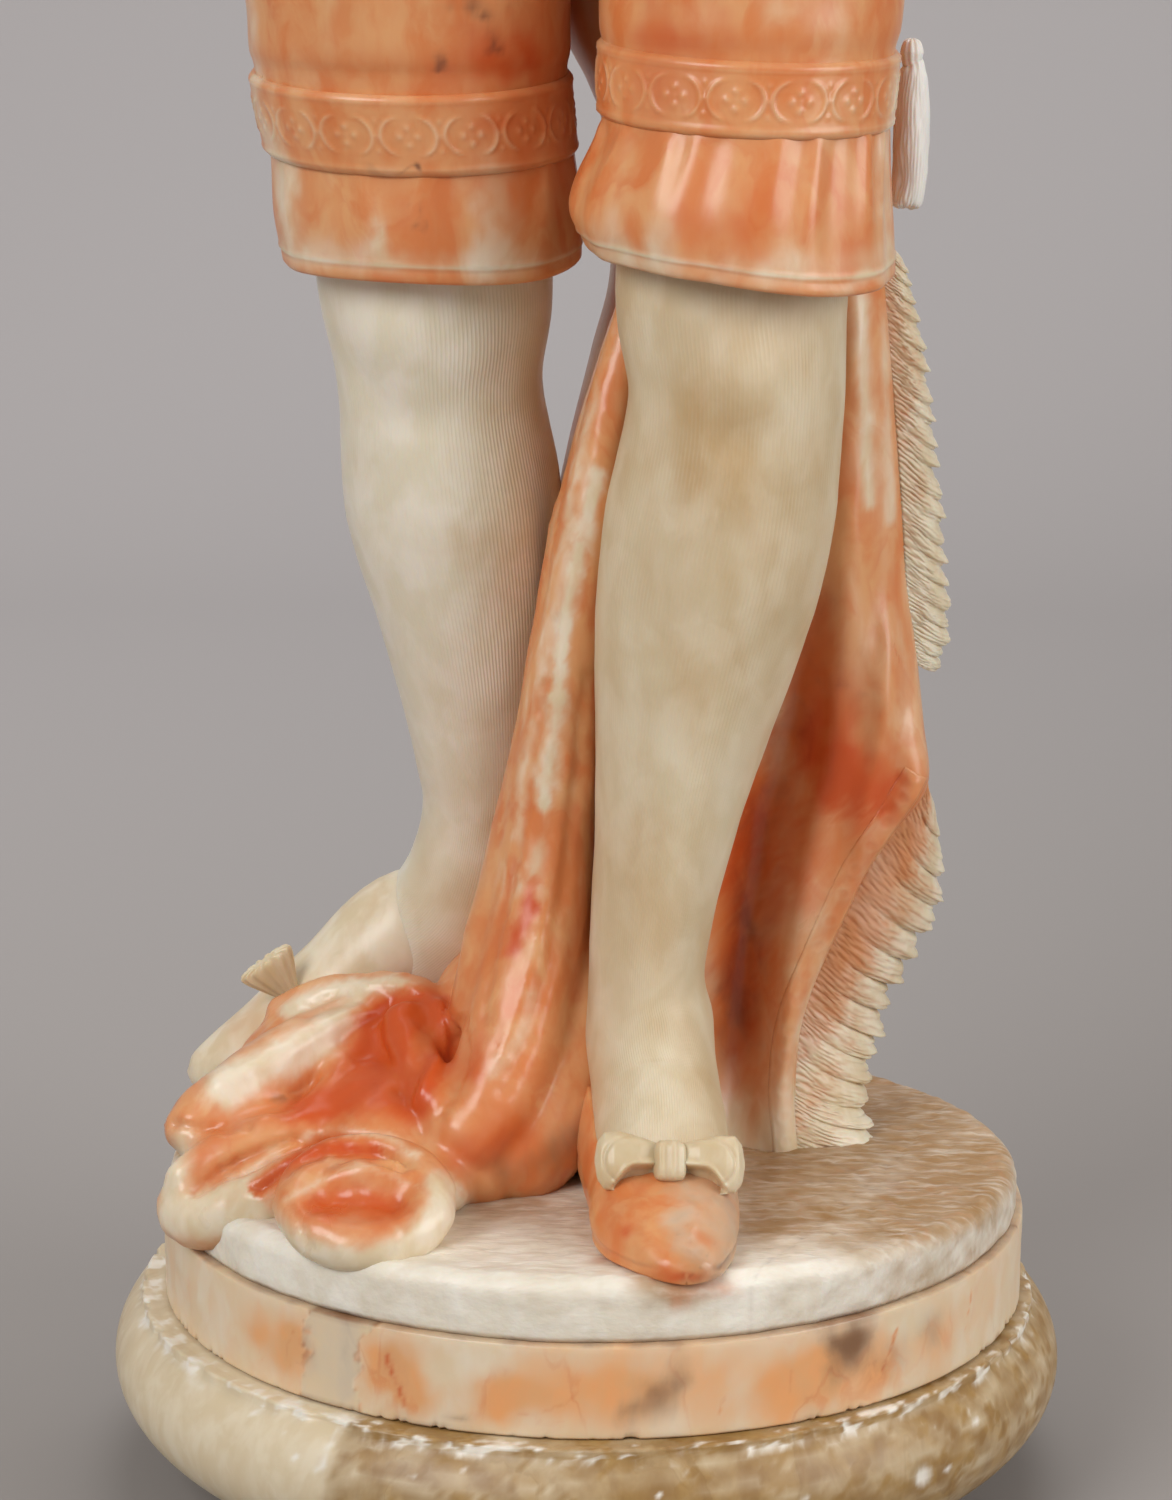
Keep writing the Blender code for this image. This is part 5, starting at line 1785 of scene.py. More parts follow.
    def forms(self) -> list[Array]:
        """The folds as tubes (x, y, z, half width, half depth) and the fill below them as ellipsoids.

        Returns:
            The rings of each closed form.
        """
        level = (0, 0, 1)
        ring = [(-.0795 + .0228 * math.cos(a), -.108 + .02 * math.sin(a), .1385 + .0085 * math.sin(a), .0098,
            .0098) for a in np.linspace(0, 2 * math.pi, 17)]
        return [limb(((.013, .002, .445, .005, .006), (.006, -.004, .415, .0075, .009),
            (-.001, -.009, .38, .009, .012), (-.0065, -.011, .345, .0105, .014),
            (-.0115, -.012, .31, .013, .016), (-.0145, -.014, .275, .0155, .018),
            (-.018, -.016, .24, .0175, .02), (-.0225, -.024, .208, .0185, .021),
            (-.029, -.036, .18, .0185, .02), (-.038, -.05, .156, .017, .018),
            (-.05, -.06, .143, .0155, .0155))), limb(((.0105, .004, .44, .003, .006),
            (.0005, .001, .41, .004, .008), (-.0075, -.002, .38, .0045, .009),
            (-.015, -.004, .345, .0048, .009), (-.021, -.006, .312, .0046, .009),
            (-.0262, -.008, .28, .0048, .009), (-.0335, -.01, .243, .0058, .01),
            (-.041, -.016, .208, .007, .012), (-.045, -.026, .18, .009, .012))),
            limb(((.006, -.002, .416, .0035, .006), (-.005, -.006, .372, .0048, .009),
            (-.0125, -.009, .33, .0055, .01), (-.0185, -.011, .292, .005, .009))),
            limb(((-.001, -.004, .23, .009, .012), (-.004, -.014, .195, .012, .016),
            (-.009, -.026, .165, .016, .019), (-.018, -.04, .142, .018, .02),
            (-.03, -.05, .128, .016, .018))), limb(((-.119, .014, .168, .007, .007),
            (-.103, .012, .177, .007, .007), (-.087, .009, .18, .007, .007), (-.074, .004, .182, .007, .007),
            (-.064, -.002, .18, .008, .008), (-.057, -.008, .172, .008, .008)), level),
            limb(((-.082, .002, .172, .012, .011), (-.098, -.008, .167, .013, .012),
            (-.112, -.018, .162, .013, .013), (-.126, -.028, .155, .013, .013),
            (-.14, -.038, .147, .012, .012), (-.149, -.046, .14, .01, .01)), level),
            limb(((-.09, -.044, .149, .008, .008), (-.105, -.05, .146, .008, .008),
            (-.12, -.055, .142, .009, .009), (-.136, -.06, .136, .009, .009),
            (-.147, -.064, .128, .0095, .0095)), level), limb(((-.1475, -.06, .1215, .011, .011),
            (-.143, -.07, .119, .0115, .0115), (-.131, -.076, .1215, .0115, .011),
            (-.117, -.08, .13, .0105, .01), (-.103, -.084, .14, .0095, .009),
            (-.09, -.087, .146, .009, .009)), level), limb(ring, level),
            limb(((-.079, -.124, .1315, .019, .008), (-.079, -.108, .1375, .021, .0085),
            (-.079, -.092, .144, .019, .008)), (1, 0, 0)), limb(((-.104, -.108, .1385, .0042, .0042),
            (-.09, -.106, .1462, .0046, .0046), (-.077, -.106, .15, .0046, .0046),
            (-.068, -.106, .148, .0046, .0046), (-.06, -.107, .1425, .0046, .0046)), level),
            limb(((-.07, -.014, .176, .009, .009), (-.066, -.03, .17, .008, .009),
            (-.058, -.05, .16, .008, .008), (-.048, -.064, .15, .009, .009)), level),
            limb(((-.092, -.02, .162, .006, .006), (-.096, -.036, .155, .006, .006),
            (-.105, -.046, .15, .005, .005)), level), blob((-.092, .004, .144), (.044, .034, .034)),
            blob((-.075, -.028, .137), (.036, .042, .027)), blob((-.06, -.006, .15), (.024, .03, .034)),
            blob((-.118, -.036, .134), (.032, .032, .018)), blob((-.122, -.066, .122), (.026, .02, .012)),
            blob((-.079, -.108, .127), (.026, .024, .011)), blob((-.072, -.07, .132), (.03, .026, .014)),
            blob((-.036, .01, .15), (.03, .04, .05)), blob((-.014, .002, .25), (.01, .012, .12)),
            blob((-.05, -.05, .13), (.026, .022, .014)),]

    def build(self) -> None:
        """Wrap, smooth, press the creases in, and paint."""
        piece, points = wrapped("cape_sweep_and_pile", self.forms(), self.voxel, 9)
        normal = normals_of(piece)
        flat = slanted(points)
        facing = soft_step(normal @ (0, -.94, .34), .05, .5)
        lines = sum(rise * stroke(flat, path, width) for path, width, rise in self.carving)
        wrinkle = .0007 * waves(points * (1, 1, .5), .026, 131) + facing * lines
        points = points + normal * wrinkle[:, None]
        keep = ground_height(points[:, 0], points[:, 1]) - .002
        inside = np.hypot(points[:, 0], points[:, 1]) < GROUND_RADIUS - .004
        points[:, 2] = np.where(inside, np.maximum(points[:, 2], keep), points[:, 2])
        move_to(piece, points)
        paint(piece, self.tones(points, normal))
        dress(piece, self.material)

    def tones(self, points: Array, normal: Array) -> Array:
        """Orange wisps that follow the folds, cream ridges and rims, and red in the valleys of the pile. One
        cream stroke is a painted highlight on the bright ridge beside the near leg, and faces that look down
        get painted shade.

        Args:
            points: the skin's points.
            normal: its normals there.

        Returns:
            The three tones of each point.
        """
        flat = slanted(points)
        wisp = waves(wander(points, .003, .03, 132) * (1, 1, .11), .0095, 133, 2)
        high = soft_step(points[:, 2], .17, .24)
        stain = .76 + .12 * waves(points * (1, 1, .4), .035, 134) + .2 * wisp * high
        stain += sum(amount * stroke(flat, path, 1.15 * width, .0014) for path, width, amount in self.cream)
        deep = .06 + .12 * wisp * high
        deep += sum(amount * stroke(flat, path, 1.3 * width, .0014) for path, width, amount in self.red)
        smudges = ((((-.116, .1406), (-.114, .14)), .0026, .5), (((-.078, .144), (-.08, .14)), .004, .22),
            (((.0015, .1328), (-.0128, .1214), (-.03, .113)), .008, .5),
            (((-.1423, .1053), (-.1198, .1198), (-.1065, .1248)), .0016, .22))
        dark = sum(amount * stroke(flat, path, width) for path, width, amount in smudges)
        # Painted shade on the faces that look down.
        under = soft_step(-normal[:, 2], .3, .9) * .3
        return tones_of(stain, deep, dark + under)


def build_cape(finish: Finishes) -> None:
    """Build the cape: its fall, hem, fringes, tassel, front fold and pile.

    Args:
        finish: every finish.
    """
    fall = CapeFall(finish.cloth)
    fall.build()
    HemBorder(finish.cloth, fall, ((.1225, .262), (.113, .2465), (.102, .23), (.093, .211), (.086, .195),
        (.08, .1795), (.0765, .163), (.0755, .143), (.077, .127), (.078, .112))).build()
    Fringe("lower_fringe", finish.fringe, ((.1225, .016, .262), (.113, .014, .2465), (.102, .013, .23),
        (.093, .013, .211), (.086, .013, .195), (.08, .014, .1795), (.076, .012, .164), (.074, .008, .1457),
        (.0738, .004, .1337), (.0742, .001, .119)), ((.1275, .03, .245), (.131, .032, .22),
        (.1275, .032, .203), (.119, .032, .187), (.1125, .032, .172), (.107, .03, .1577), (.104, .025, .1437),
        (.1028, .019, .1311), (.1045, .012, .1215), (.1, .006, .112)), (-.035, -.035), 14, .014, 141, .85,
        per_lock=24).build()
    Fringe("upper_fringe", finish.fringe,
        ((.099, .03, .462), (.1015, .03, .444), (.105, .03, .42), (.108, .03, .395), (.1105, .03, .37),
         (.1125, .03, .345), (.114, .031, .322), (.115, .032, .303)),
        ((.111, .04, .45), (.116, .04, .433), (.121, .04, .408), (.1245, .042, .382), (.1275, .042, .356),
         (.13, .043, .331), (.131, .044, .31), (.1275, .044, .295)),
        (.06, -.06), 20, .013, 147, .36, per_lock=18).build()
    Tassel(finish.tassel).build()
    CapeSweep(finish.cloth).build()


# ---------------------------------------------------------------- upper half


@dataclass
class Garment:
    """A closed sleeve of cloth round the body or an arm, with folds raised on it.

    `folds` are x, y, z, half width, half height and rise. `creases` is the height of random folds.
    """

    name: str
    material: Material
    stations: tuple[tuple[float, ...], ...]
    folds: tuple[tuple[float, ...], ...] = ()
    creases: float = .001
    crease_size: float = .05
    side: tuple[float, float, float] = (1, 0, 0)
    level: bool = False
    rows: int = 80
    around: int = 104
    stain: float = .74
    seed: int = 201

    def rings(self) -> tuple[Array, Array]:
        """The folded sections and their angles.

        Returns:
            The rings, and the angles round them.
        """
        rings, angle = tube_rings(self.stations, self.rows, self.around, self.side, self.level)
        rings = swell(rings, self.creases * waves(rings * (1, 1, .55), self.crease_size, self.seed, 2)
            + patches(rings, self.folds, reach=.003))
        return rings, angle

    def tones(self, rings: Array) -> Array:
        """Orange cloth with soft cream and red clouds."""
        streak = waves(rings * (1, 1, .5), .06, self.seed + 1)
        red = .1 + .22 * waves(rings, .05, self.seed + 2) * (self.stain > .4)
        return tones_of(self.stain + .22 * streak, red)

    def build(self) -> None:
        """Make and dress the piece."""
        rings, _ = self.rings()
        dress(closed_skin(self.name, rings, self.tones(rings)), self.material)


@dataclass
class JacketBody(Garment):
    """The short jacket: a front edge, a carved hem band and a hem that is turned under."""

    def build(self) -> None:
        """Raise the front edge and the hem band on the sections, then close the hem inside."""
        rings, angle = self.rings()
        z = rings[..., 2]
        front = (angle + 1.5 * math.pi) % (2 * math.pi) - math.pi
        low = self.stations[0][2]
        placket = .0012 * soft_step(-np.abs(front - .1), -.135, -.115) - .0016 * bell(front, -.03, .012)
        girth = math.pi * (self.stations[1][3] + self.stations[1][4])
        band = GarterRelief(girth, .022).field(angle[None] / (2 * math.pi) * girth,
            np.clip(z - low - .002, 0, .022))
        inside = soft_step(z, low + .0015, low + .0025) * (1 - soft_step(z, low + .0235, low + .0245))
        seams = sum(bell(np.abs(front), place, .01) for place in (1.05, 2.15))
        rings = swell(rings, placket + inside * (.0012 + band) - .0007 * seams * (1 - inside))
        last = rings[0]
        middle = last.mean(0)
        turned = [np.column_stack([middle[:2] + (last[:, :2] - middle[:2]) * scale, last[:, 2] + rise])
            for scale, rise in ((.93, .012), (.945, .001), (.975, -.0012))]
        rings = np.concatenate([np.array(turned), rings])
        dress(closed_skin(self.name, rings, self.tones(rings)), self.material)


@dataclass
class Sash(Garment):
    """A wide sash: soft pleats that slant slightly round the waist."""

    def build(self) -> None:
        """Raise the pleats as a wave across the height that drifts with the angle."""
        rings, angle = self.rings()
        place = rings[..., 2] / .0105 + .35 * np.sin(angle) + .5 * waves(rings, .08, 211)
        rings = swell(rings, .0016 * np.abs(np.sin(place * math.pi)) ** .7)
        dress(closed_skin(self.name, rings, self.tones(rings)), self.material)


@dataclass
class ShoulderCape(Garment):
    """The end of the cape thrown over the shoulder: a thick strap pleated along its length."""

    def build(self) -> None:
        """Raise the pleats as a wave round the section, flat at both ends."""
        rings, angle = self.rings()
        t = np.linspace(0, 1, self.rows)[:, None]
        pleat = np.abs(np.sin(3.5 * angle + 1.3 * waves(rings, .06, 221) + 1.5 * t)) ** .8
        rings = swell(rings, .003 * (pleat - .5) * np.sin(math.pi * t) ** .4)
        tones = tones_of(.8 - .16 * pleat + .12 * waves(rings, .06, 222), .3 * (1 - pleat))
        dress(closed_skin(self.name, rings, tones), self.material)


@dataclass
class Frill:
    """A ruffle of lace: a flaring ring whose edge waves in deep flutes, closed with its own thickness."""

    name: str
    material: Material
    path: tuple[tuple[float, ...], ...]
    flutes: int
    depth: float
    side: tuple[float, float, float] = (1, 0, 0)

    def build(self) -> None:
        """Flute the sections more and more towards the open end, then fold them back inside."""
        rings, angle = tube_rings(self.path, 26, 200, self.side)
        t = np.linspace(0, 1, 26)[:, None]
        flute = np.sin(angle * self.flutes + .9 * np.sin(2 * angle))
        rings = swell(rings, self.depth * t**.8 * flute + .0003 * np.sin(angle * self.flutes * 4) * t)
        middle = rings.mean(1, keepdims=True)
        span = np.linalg.norm(rings - middle, axis=-1, keepdims=True)
        inner = (middle + (rings - middle) * (1 - .0014 / span))[::-1][:22]
        rings = np.concatenate([rings, inner])
        dress(closed_skin(self.name, rings, tones_of(.06 + .05 * waves(rings, .02, 221))), self.material)


@dataclass
class Hand:
    """A hand made of a palm, four jointed fingers and a thumb, wrapped in one skin."""

    name: str
    material: Material
    wrist: tuple[float, float, float]
    reach: tuple[float, float, float]
    curl: tuple[float, float, float]
    spread: tuple[float, float, float]

    def build(self) -> None:
        """Lay the forms out along the wrist's direction and curl the fingers towards the palm."""
        wrist = np.array(self.wrist, float)
        reach, curl, spread = (np.array(v) / np.linalg.norm(v) for v in (self.reach, self.curl, self.spread))
        palm = wrist + .026 * reach
        forms = [limb([(*(wrist + step * reach), wide, deep) for step, wide, deep in (
            (-.012, .0155, .0125), (.004, .016, .0115), (.018, .02, .0105), (.032, .0225, .0098),
            (.044, .0215, .0085))], side=tuple(spread))]
        for number, length in enumerate((.94, 1.04, 1.0, .84)):
            root = palm + .013 * reach + (number - 1.5) * -.0108 * spread
            joints = [root, root + length * (.012 * reach + .001 * curl),
                root + length * (.022 * reach + .006 * curl), root + length * (.029 * reach + .014 * curl),
                root + length * (.03 * reach + .021 * curl)]
            sizes = (.006, .0061, .0055, .005, .0042)
            forms.append(limb([(*p, r, r) for p, r in zip(joints, sizes)], side=tuple(spread), around=18))
        root = palm - .01 * reach + .014 * spread
        joints = [root, root + .012 * reach + .009 * spread, root + .024 * reach + .012 * spread
            + .003 * curl, root + .033 * reach + .011 * spread + .007 * curl]
        forms.append(limb([(*p, r, r) for p, r in zip(joints, (.0078, .007, .0062, .005))], side=tuple(curl),
            around=18))
        piece, points = wrapped(self.name, forms, .0015, 3)
        paint(piece, tones_of(.07 + .07 * waves(points, .03, 231)))
        dress(piece, self.material)


@dataclass
class Face:
    """The head without its hair: a calm, regular face in even thirds, its features carved in.

    Heights are measured down from the crown. The base is a stack of ovals; the lower ones tilt up along
    the jaw.
    """

    material: Material
    crown: float
    x: float = -.011
    y: float = -.008
    eye: float = .0715
    eye_apart: float = .0172
    nose_foot: float = .103
    mouth: float = .1152
    chin: float = .134
    profile: tuple[tuple[float, ...], ...] = ((.1412, .01, .031), (.1398, .0175, .041), (.136, .024, .0475),
        (.129, .03, .0502), (.121, .0342, .0512), (.112, .0375, .052), (.103, .0398, .0525),
        (.093, .0415, .053), (.082, .0428, .053), (.0715, .0432, .0528), (.062, .043, .053),
        (.05, .041, .0515), (.037, .0352, .047), (.024, .0275, .033), (.015, .012, .014), (.013, .003, .004))

    def build(self) -> None:
        """Stack the ovals, press the features in and make the skin."""
        rows, around = 192, 172
        line = smooth_rows(self.profile, rows)
        down, half, fore = (line[:, k:k + 1] for k in range(3))
        turn = turns(around)
        angle = turn - .5 * np.cos(turn)
        c, s = np.cos(angle), np.sin(angle)
        x = half * np.sign(c) * np.abs(c) ** .92
        rear = .046 * np.sqrt(np.clip(1 - ((down - .062) / .083) ** 2, .05, 1))
        y = np.where(s < 0, fore, rear) * s
        z = -down + 0 * x
        tilt = .48 * (1 - soft_step(-down, -.14, -.092))
        z = z + tilt * np.clip(y + .05, 0, .075)
        y = y - self.features(x, -z) * soft_step(-s, 0.0, .35)
        rings = np.stack([self.x + x - .02 * (-z - .07), self.y + y, self.crown + z], -1)
        stain = .05 + .05 * waves(rings, .03, 241) + patches(
            rings, ((self.x - .003, self.y - .055, self.crown - self.mouth, .01, .003, .16),
                    (self.x - .024, self.y - .05, self.crown - .095, .01, .009, .1),
                    (self.x + .022, self.y - .05, self.crown - .095, .01, .009, .1)), reach=0.0)
        dress(closed_skin("face", rings, tones_of(stain)), self.material)

    def features(self, x: Array, down: Array) -> Array:
        """How far the face stands forward of its base, `x` from its middle and `down` from the crown.

        Args:
            x: metres to the side of the middle line.
            down: metres below the crown.

        Returns:
            Metres forward at each point.
        """
        side = np.abs(x)
        ball = (side - self.eye_apart) / .0096
        height = self.eye - down
        inner = np.clip(1 - ball**2, 0, 1)
        upper, lower = .0041 * np.sqrt(inner), -.0027 * np.sqrt(inner)
        lids = soft_step(inner, 0.0, .25) * (.0019 * bell(height, upper + .0008, .0011)
            - .0016 * bell(height, upper - .001, .0009) - .0016 * bell(height, upper + .0034, .0011)
            + .0011 * bell(height, lower - .0006, .001) - .001 * bell(height, lower + .0009, .0008))
        from_pupil = np.hypot(side - self.eye_apart, height - .0006)
        iris = (-.0008 * bell(from_pupil, .0031, .0006) * (height < upper - .0004)
            - .0014 * bell(from_pupil, 0, .0011))
        arch = height - .0092 + .0022 * ((side - .017) / .012) ** 2
        brow = (.0034 * bell(arch, 0, .0026) * bell(side, .0175, .0125)
            + .0006 * bell(arch, .0008, .001) * bell(side, .0175, .011))
        along = np.clip((down - .064) / (self.nose_foot - .0075 - .064), 0, 1)
        ends = (1 - soft_step(down, self.nose_foot - .005, self.nose_foot
            + .0004)) * soft_step(down, .056, .069)
        nose = ends * (.0026 + .0118 * along**1.15) * np.exp(-(side / (.0037 + .0022 * along)) ** 2)
        bow = .0008 * np.exp(-((side - .003) / .0024) ** 2) - .0004 * np.exp(-(side / .0016) ** 2)
        line = self.mouth + .0008 * (side / .0118) ** 2 - .0011 * np.clip(side / .013, 0, 1) ** 4
        lips = (.0028 * np.exp(-((side / .0118) ** 4)) * bell(down, line - .0021 - bow, .0019)
            + .0036 * np.exp(-((side / .0098) ** 4)) * bell(down, line + .0029, .0023)
            - .0026 * np.exp(-((side / .0128) ** 6)) * bell(down, line, .00065))
        # Soft round forms: rise, distance from the middle line, half width, distance down, half height.
        forms = sum(rise * np.exp(-(((side - apart) / wide) ** 2) - ((down - below) / tall) ** 2)
            for rise, apart, wide, below, tall in (
                (-.0074, self.eye_apart, .0128, self.eye - .0005, .0078),  # eye socket
                (.0066, self.eye_apart, .0088, self.eye - .0004, .0054),  # eyeball
                (.0022, 0, .0046, self.nose_foot - .0065, .0045),  # tip of the nose
                (.0062, .0066, .0028, self.nose_foot - .0034, .0035),  # wing of the nose
                (-.0009, .0102, .0016, self.nose_foot - .003, .004),  # crease beside the wing
                (-.003, .0036, .0018, self.nose_foot - .0006, .0011),  # nostril
                (-.0007, 0, .0017, self.nose_foot + .005, .0035),  # groove above the lip
                (.0022, 0, .015, self.mouth, .0105),  # muzzle
                (-.001, .0136, .002, self.mouth, .0024),  # corner of the mouth
                (-.0024, 0, .012, .1243, .0028),  # dip under the lower lip
                (.004, 0, .0105, self.chin, .006),  # chin
                (.0036, .024, .012, .093, .012),  # cheek
                (.001, 0, .02, .046, .011)))  # forehead
        return lids + iris + brow + nose + lips + forms


@dataclass
class Hair:
    """Hair combed back from the forehead over the ears in wavy strands, tied in a knot at the nape."""

    material: Material
    ribbon: Material
    crown: float
    x: float = -.011
    y: float = -.008

    def build(self) -> None:
        """Build the cap, the ears, the knot of hair and its ribbon."""
        self.build_cap()
        for side in (-1, 1):
            self.build_ear(side)
        self.build_knot()
        Bow("hair_ribbon", self.ribbon, (self.x + .002, self.y + .056, self.crown - .113), facing=180.0,
            lean=-4.0).build()

    def build_cap(self) -> None:
        """A dome whose lower edge follows the hairline, grooved along strands that run back from the brow."""
        rows, around = 104, 190
        angle = turns(around)
        t = np.linspace(.02, 1, rows)[:, None]
        ahead = .5 - .5 * np.sin(angle)
        back = soft_step(.78 - ahead, 0, .24)
        broken = waves(circle(angle), .16, 254, 2)
        edge = np.radians(66 + 48 * back + 30 * soft_step(.5 - ahead, 0, .5) + 3.0 * broken * ahead
            - 6 * bell(np.cos(angle), 0.0, .35) * ahead + 13 * bell(np.abs(np.cos(angle)), .9, .13)
            * soft_step(ahead, .45, .62))
        polar = t * edge
        unit = np.stack([np.sin(polar) * np.cos(angle), np.sin(polar) * np.sin(angle), np.cos(polar)], -1)
        lift = 1 + .05 * np.exp(-((np.degrees(polar) - 60) / 22) ** 2) * ahead**2
        narrow = 1 - .16 * soft_step(-unit[..., 2:], .15, .8)
        centre = (self.x, self.y + .0095, self.crown - .0575)
        rings = unit * (.0515, .0585, .0575) * lift[..., None] * narrow + centre
        flow = np.arctan2(unit[..., 0], unit[..., 2] + .42)
        drift = np.stack([flow * 1.2, unit[..., 1] * .8], -1)
        lock = np.abs(np.sin(7.5 * flow + 1.1 * waves(drift, .9, 251, 2))) ** .7 * 2 - 1.3
        thin = np.sin(58 * flow + 2.2 * waves(drift, .7, 252, 2))
        end = np.minimum((1 - t) * 12, 1)
        rings = swell(rings, end * (.0019 * lock + .0006 * thin) - .002 * (1 - end))
        last = rings[-1]
        middle = np.array((self.x, self.y, self.crown - .07))
        rings = np.concatenate([rings, [last + (middle - last) * .1, last + (middle - last) * .3]])
        comb = np.pad(.1 * lock + .08 * thin, ((0, 2), (0, 0)), mode="edge")
        stain = .58 + .1 * waves(rings, .05, 253) - comb
        dress(closed_skin("hair", rings, tones_of(stain, .08, .14 - comb)), self.material)

    def build_ear(self, side: int) -> None:
        """The lower part of an ear: an oval bowl with a raised rim and a lobe.

        Args:
            side: -1 for the left ear, 1 for the right.
        """
        rows, around = 40, 60
        t = np.linspace(.03, 1, rows)[:, None]
        angle = turns(around)
        rim = .0032 * bell(t, .8, .14) * (.6 + .4 * np.sin(angle)) - .0016 * bell(t, .35, .3)
        out = .0046 * np.sqrt(np.clip(1 - t**2.2, 0, 1)) + rim
        y = self.y + .006 + .0085 * t * np.cos(angle) * (1 - .25 * np.clip(-np.sin(angle), 0, 1))
        z = self.crown - .089 + .0138 * t * np.sin(angle) * np.where(np.sin(angle) < 0, 1.0, 1.05)
        x = self.x + side * (.0385 + .34 * (y - self.y + .0025) + out)
        rings = np.stack([x + 0 * y, y, z], -1)
        back = rings[-1].copy()
        back = back.mean(0) + (back - back.mean(0)) * .72
        back[:, 0] = self.x + side * .034
        rings = np.concatenate([rings, back[None]])
        name = "ear_left" if side < 0 else "ear_right"
        dress(closed_skin(name, rings, tones_of(.08 + 0 * rings[..., 0])), self.ribbon)

    def build_knot(self) -> None:
        """The gathered hair at the nape: a round bun with strands wound over it."""
        stations = tuple((self.x + .002, self.y + behind, self.crown - down, size * 1.05, size)
            for behind, down, size in ((.042, .09, .01), (.048, .091, .016), (.057, .093, .0205),
            (.068, .095, .02), (.077, .096, .015), (.082, .0965, .008), (.0838, .0965, .001)))
        rings, angle = tube_rings(stations, 56, 84)
        wind = np.linspace(0, 1, 56)[:, None]
        strand = np.sin(9 * angle + 7 * wind + 1.2 * waves(rings, .03, 257))
        rings = swell(rings, .001 * strand * np.sin(math.pi * wind) ** .4)
        dress(closed_skin("hair_knot", rings, tones_of(.42 - .14 * strand, .08, .05)), self.material)


def build_buttons(material: Material, places: Sequence[tuple[float, float, float, float]], name: str) -> None:
    """Small domed buttons with a raised rim. A place is x, y, z and a turn about the upright.

    Args:
        material: the finish.
        places: one row per button.
        name: the name of the whole row.
    """
    parts = []
    for number, (x, y, z, turn) in enumerate(places):
        t = np.linspace(.03, 1, 12)[:, None]
        angle = turns(26)
        rise = .0022 * np.sqrt(1 - t**2) + .0006 * bell(t, .82, .1)
        flat = np.stack([.0042 * t * np.cos(angle), -rise + 0 * angle, .0042 * t * np.sin(angle)], -1)
        back = flat[-1] + (0, .0035, 0)
        upright = np.array(Matrix.Rotation(math.radians(turn), 3, "Z"))
        rings = np.concatenate([flat, back[None]]) @ upright.T + (x, y, z)
        parts.append(closed_skin(f"{name}_{number}", rings, tones_of(.08 + 0 * rings[..., 0])))
    dress(joined(name, parts), material)


def build_cravat(material: Material) -> None:
    """The cravat: a wrapped band, a knot, and a falling frill whose edges wave.

    Args:
        material: the finish.
    """
    Sash("cravat_band", material, ((-.005, .001, 1.004, .0385, .037), (-.006, 0.0, 1.012, .042, .04),
                                  (-.007, -.001, 1.03, .0405, .0395), (-.008, -.002, 1.048, .0365, .0365),
                                  (-.008, -.002, 1.056, .034, .0345), (-.008, -.002, 1.057, .032, .0325)),
        creases=.0004, stain=.07, level=True, rows=36, around=120).build()
    rows, around = 62, 100
    t = np.linspace(0, 1, rows)[:, None]
    angle = turns(around)
    wide = np.interp(t, (0, .04, .13, .22, .5, .92, 1), (.004, .01, .0125, .009, .0155, .0175, .012))
    deep = np.interp(t, (0, .04, .13, .22, .5, .92, 1), (.003, .0085, .0105, .0065, .0085, .006, .001))
    x = wide * np.cos(angle)
    wave = np.sin(x / .0034 * 2.2 + 1.1 * np.sin(9 * t)) * t
    y = deep * -np.sin(angle) - .003 * wave
    z = 1.02 - .07 * t + .0022 * np.sin(x / .003) * t**2
    middle = np.interp(t, (0, .1, .3, 1), (-.044, -.05, -.06, -.074))
    rings = np.stack([x - .006, y + middle, z + 0 * x], -1)
    dress(closed_skin("cravat_frill", rings, tones_of(.05 + .05 * waves(rings, .02, 261))), material)


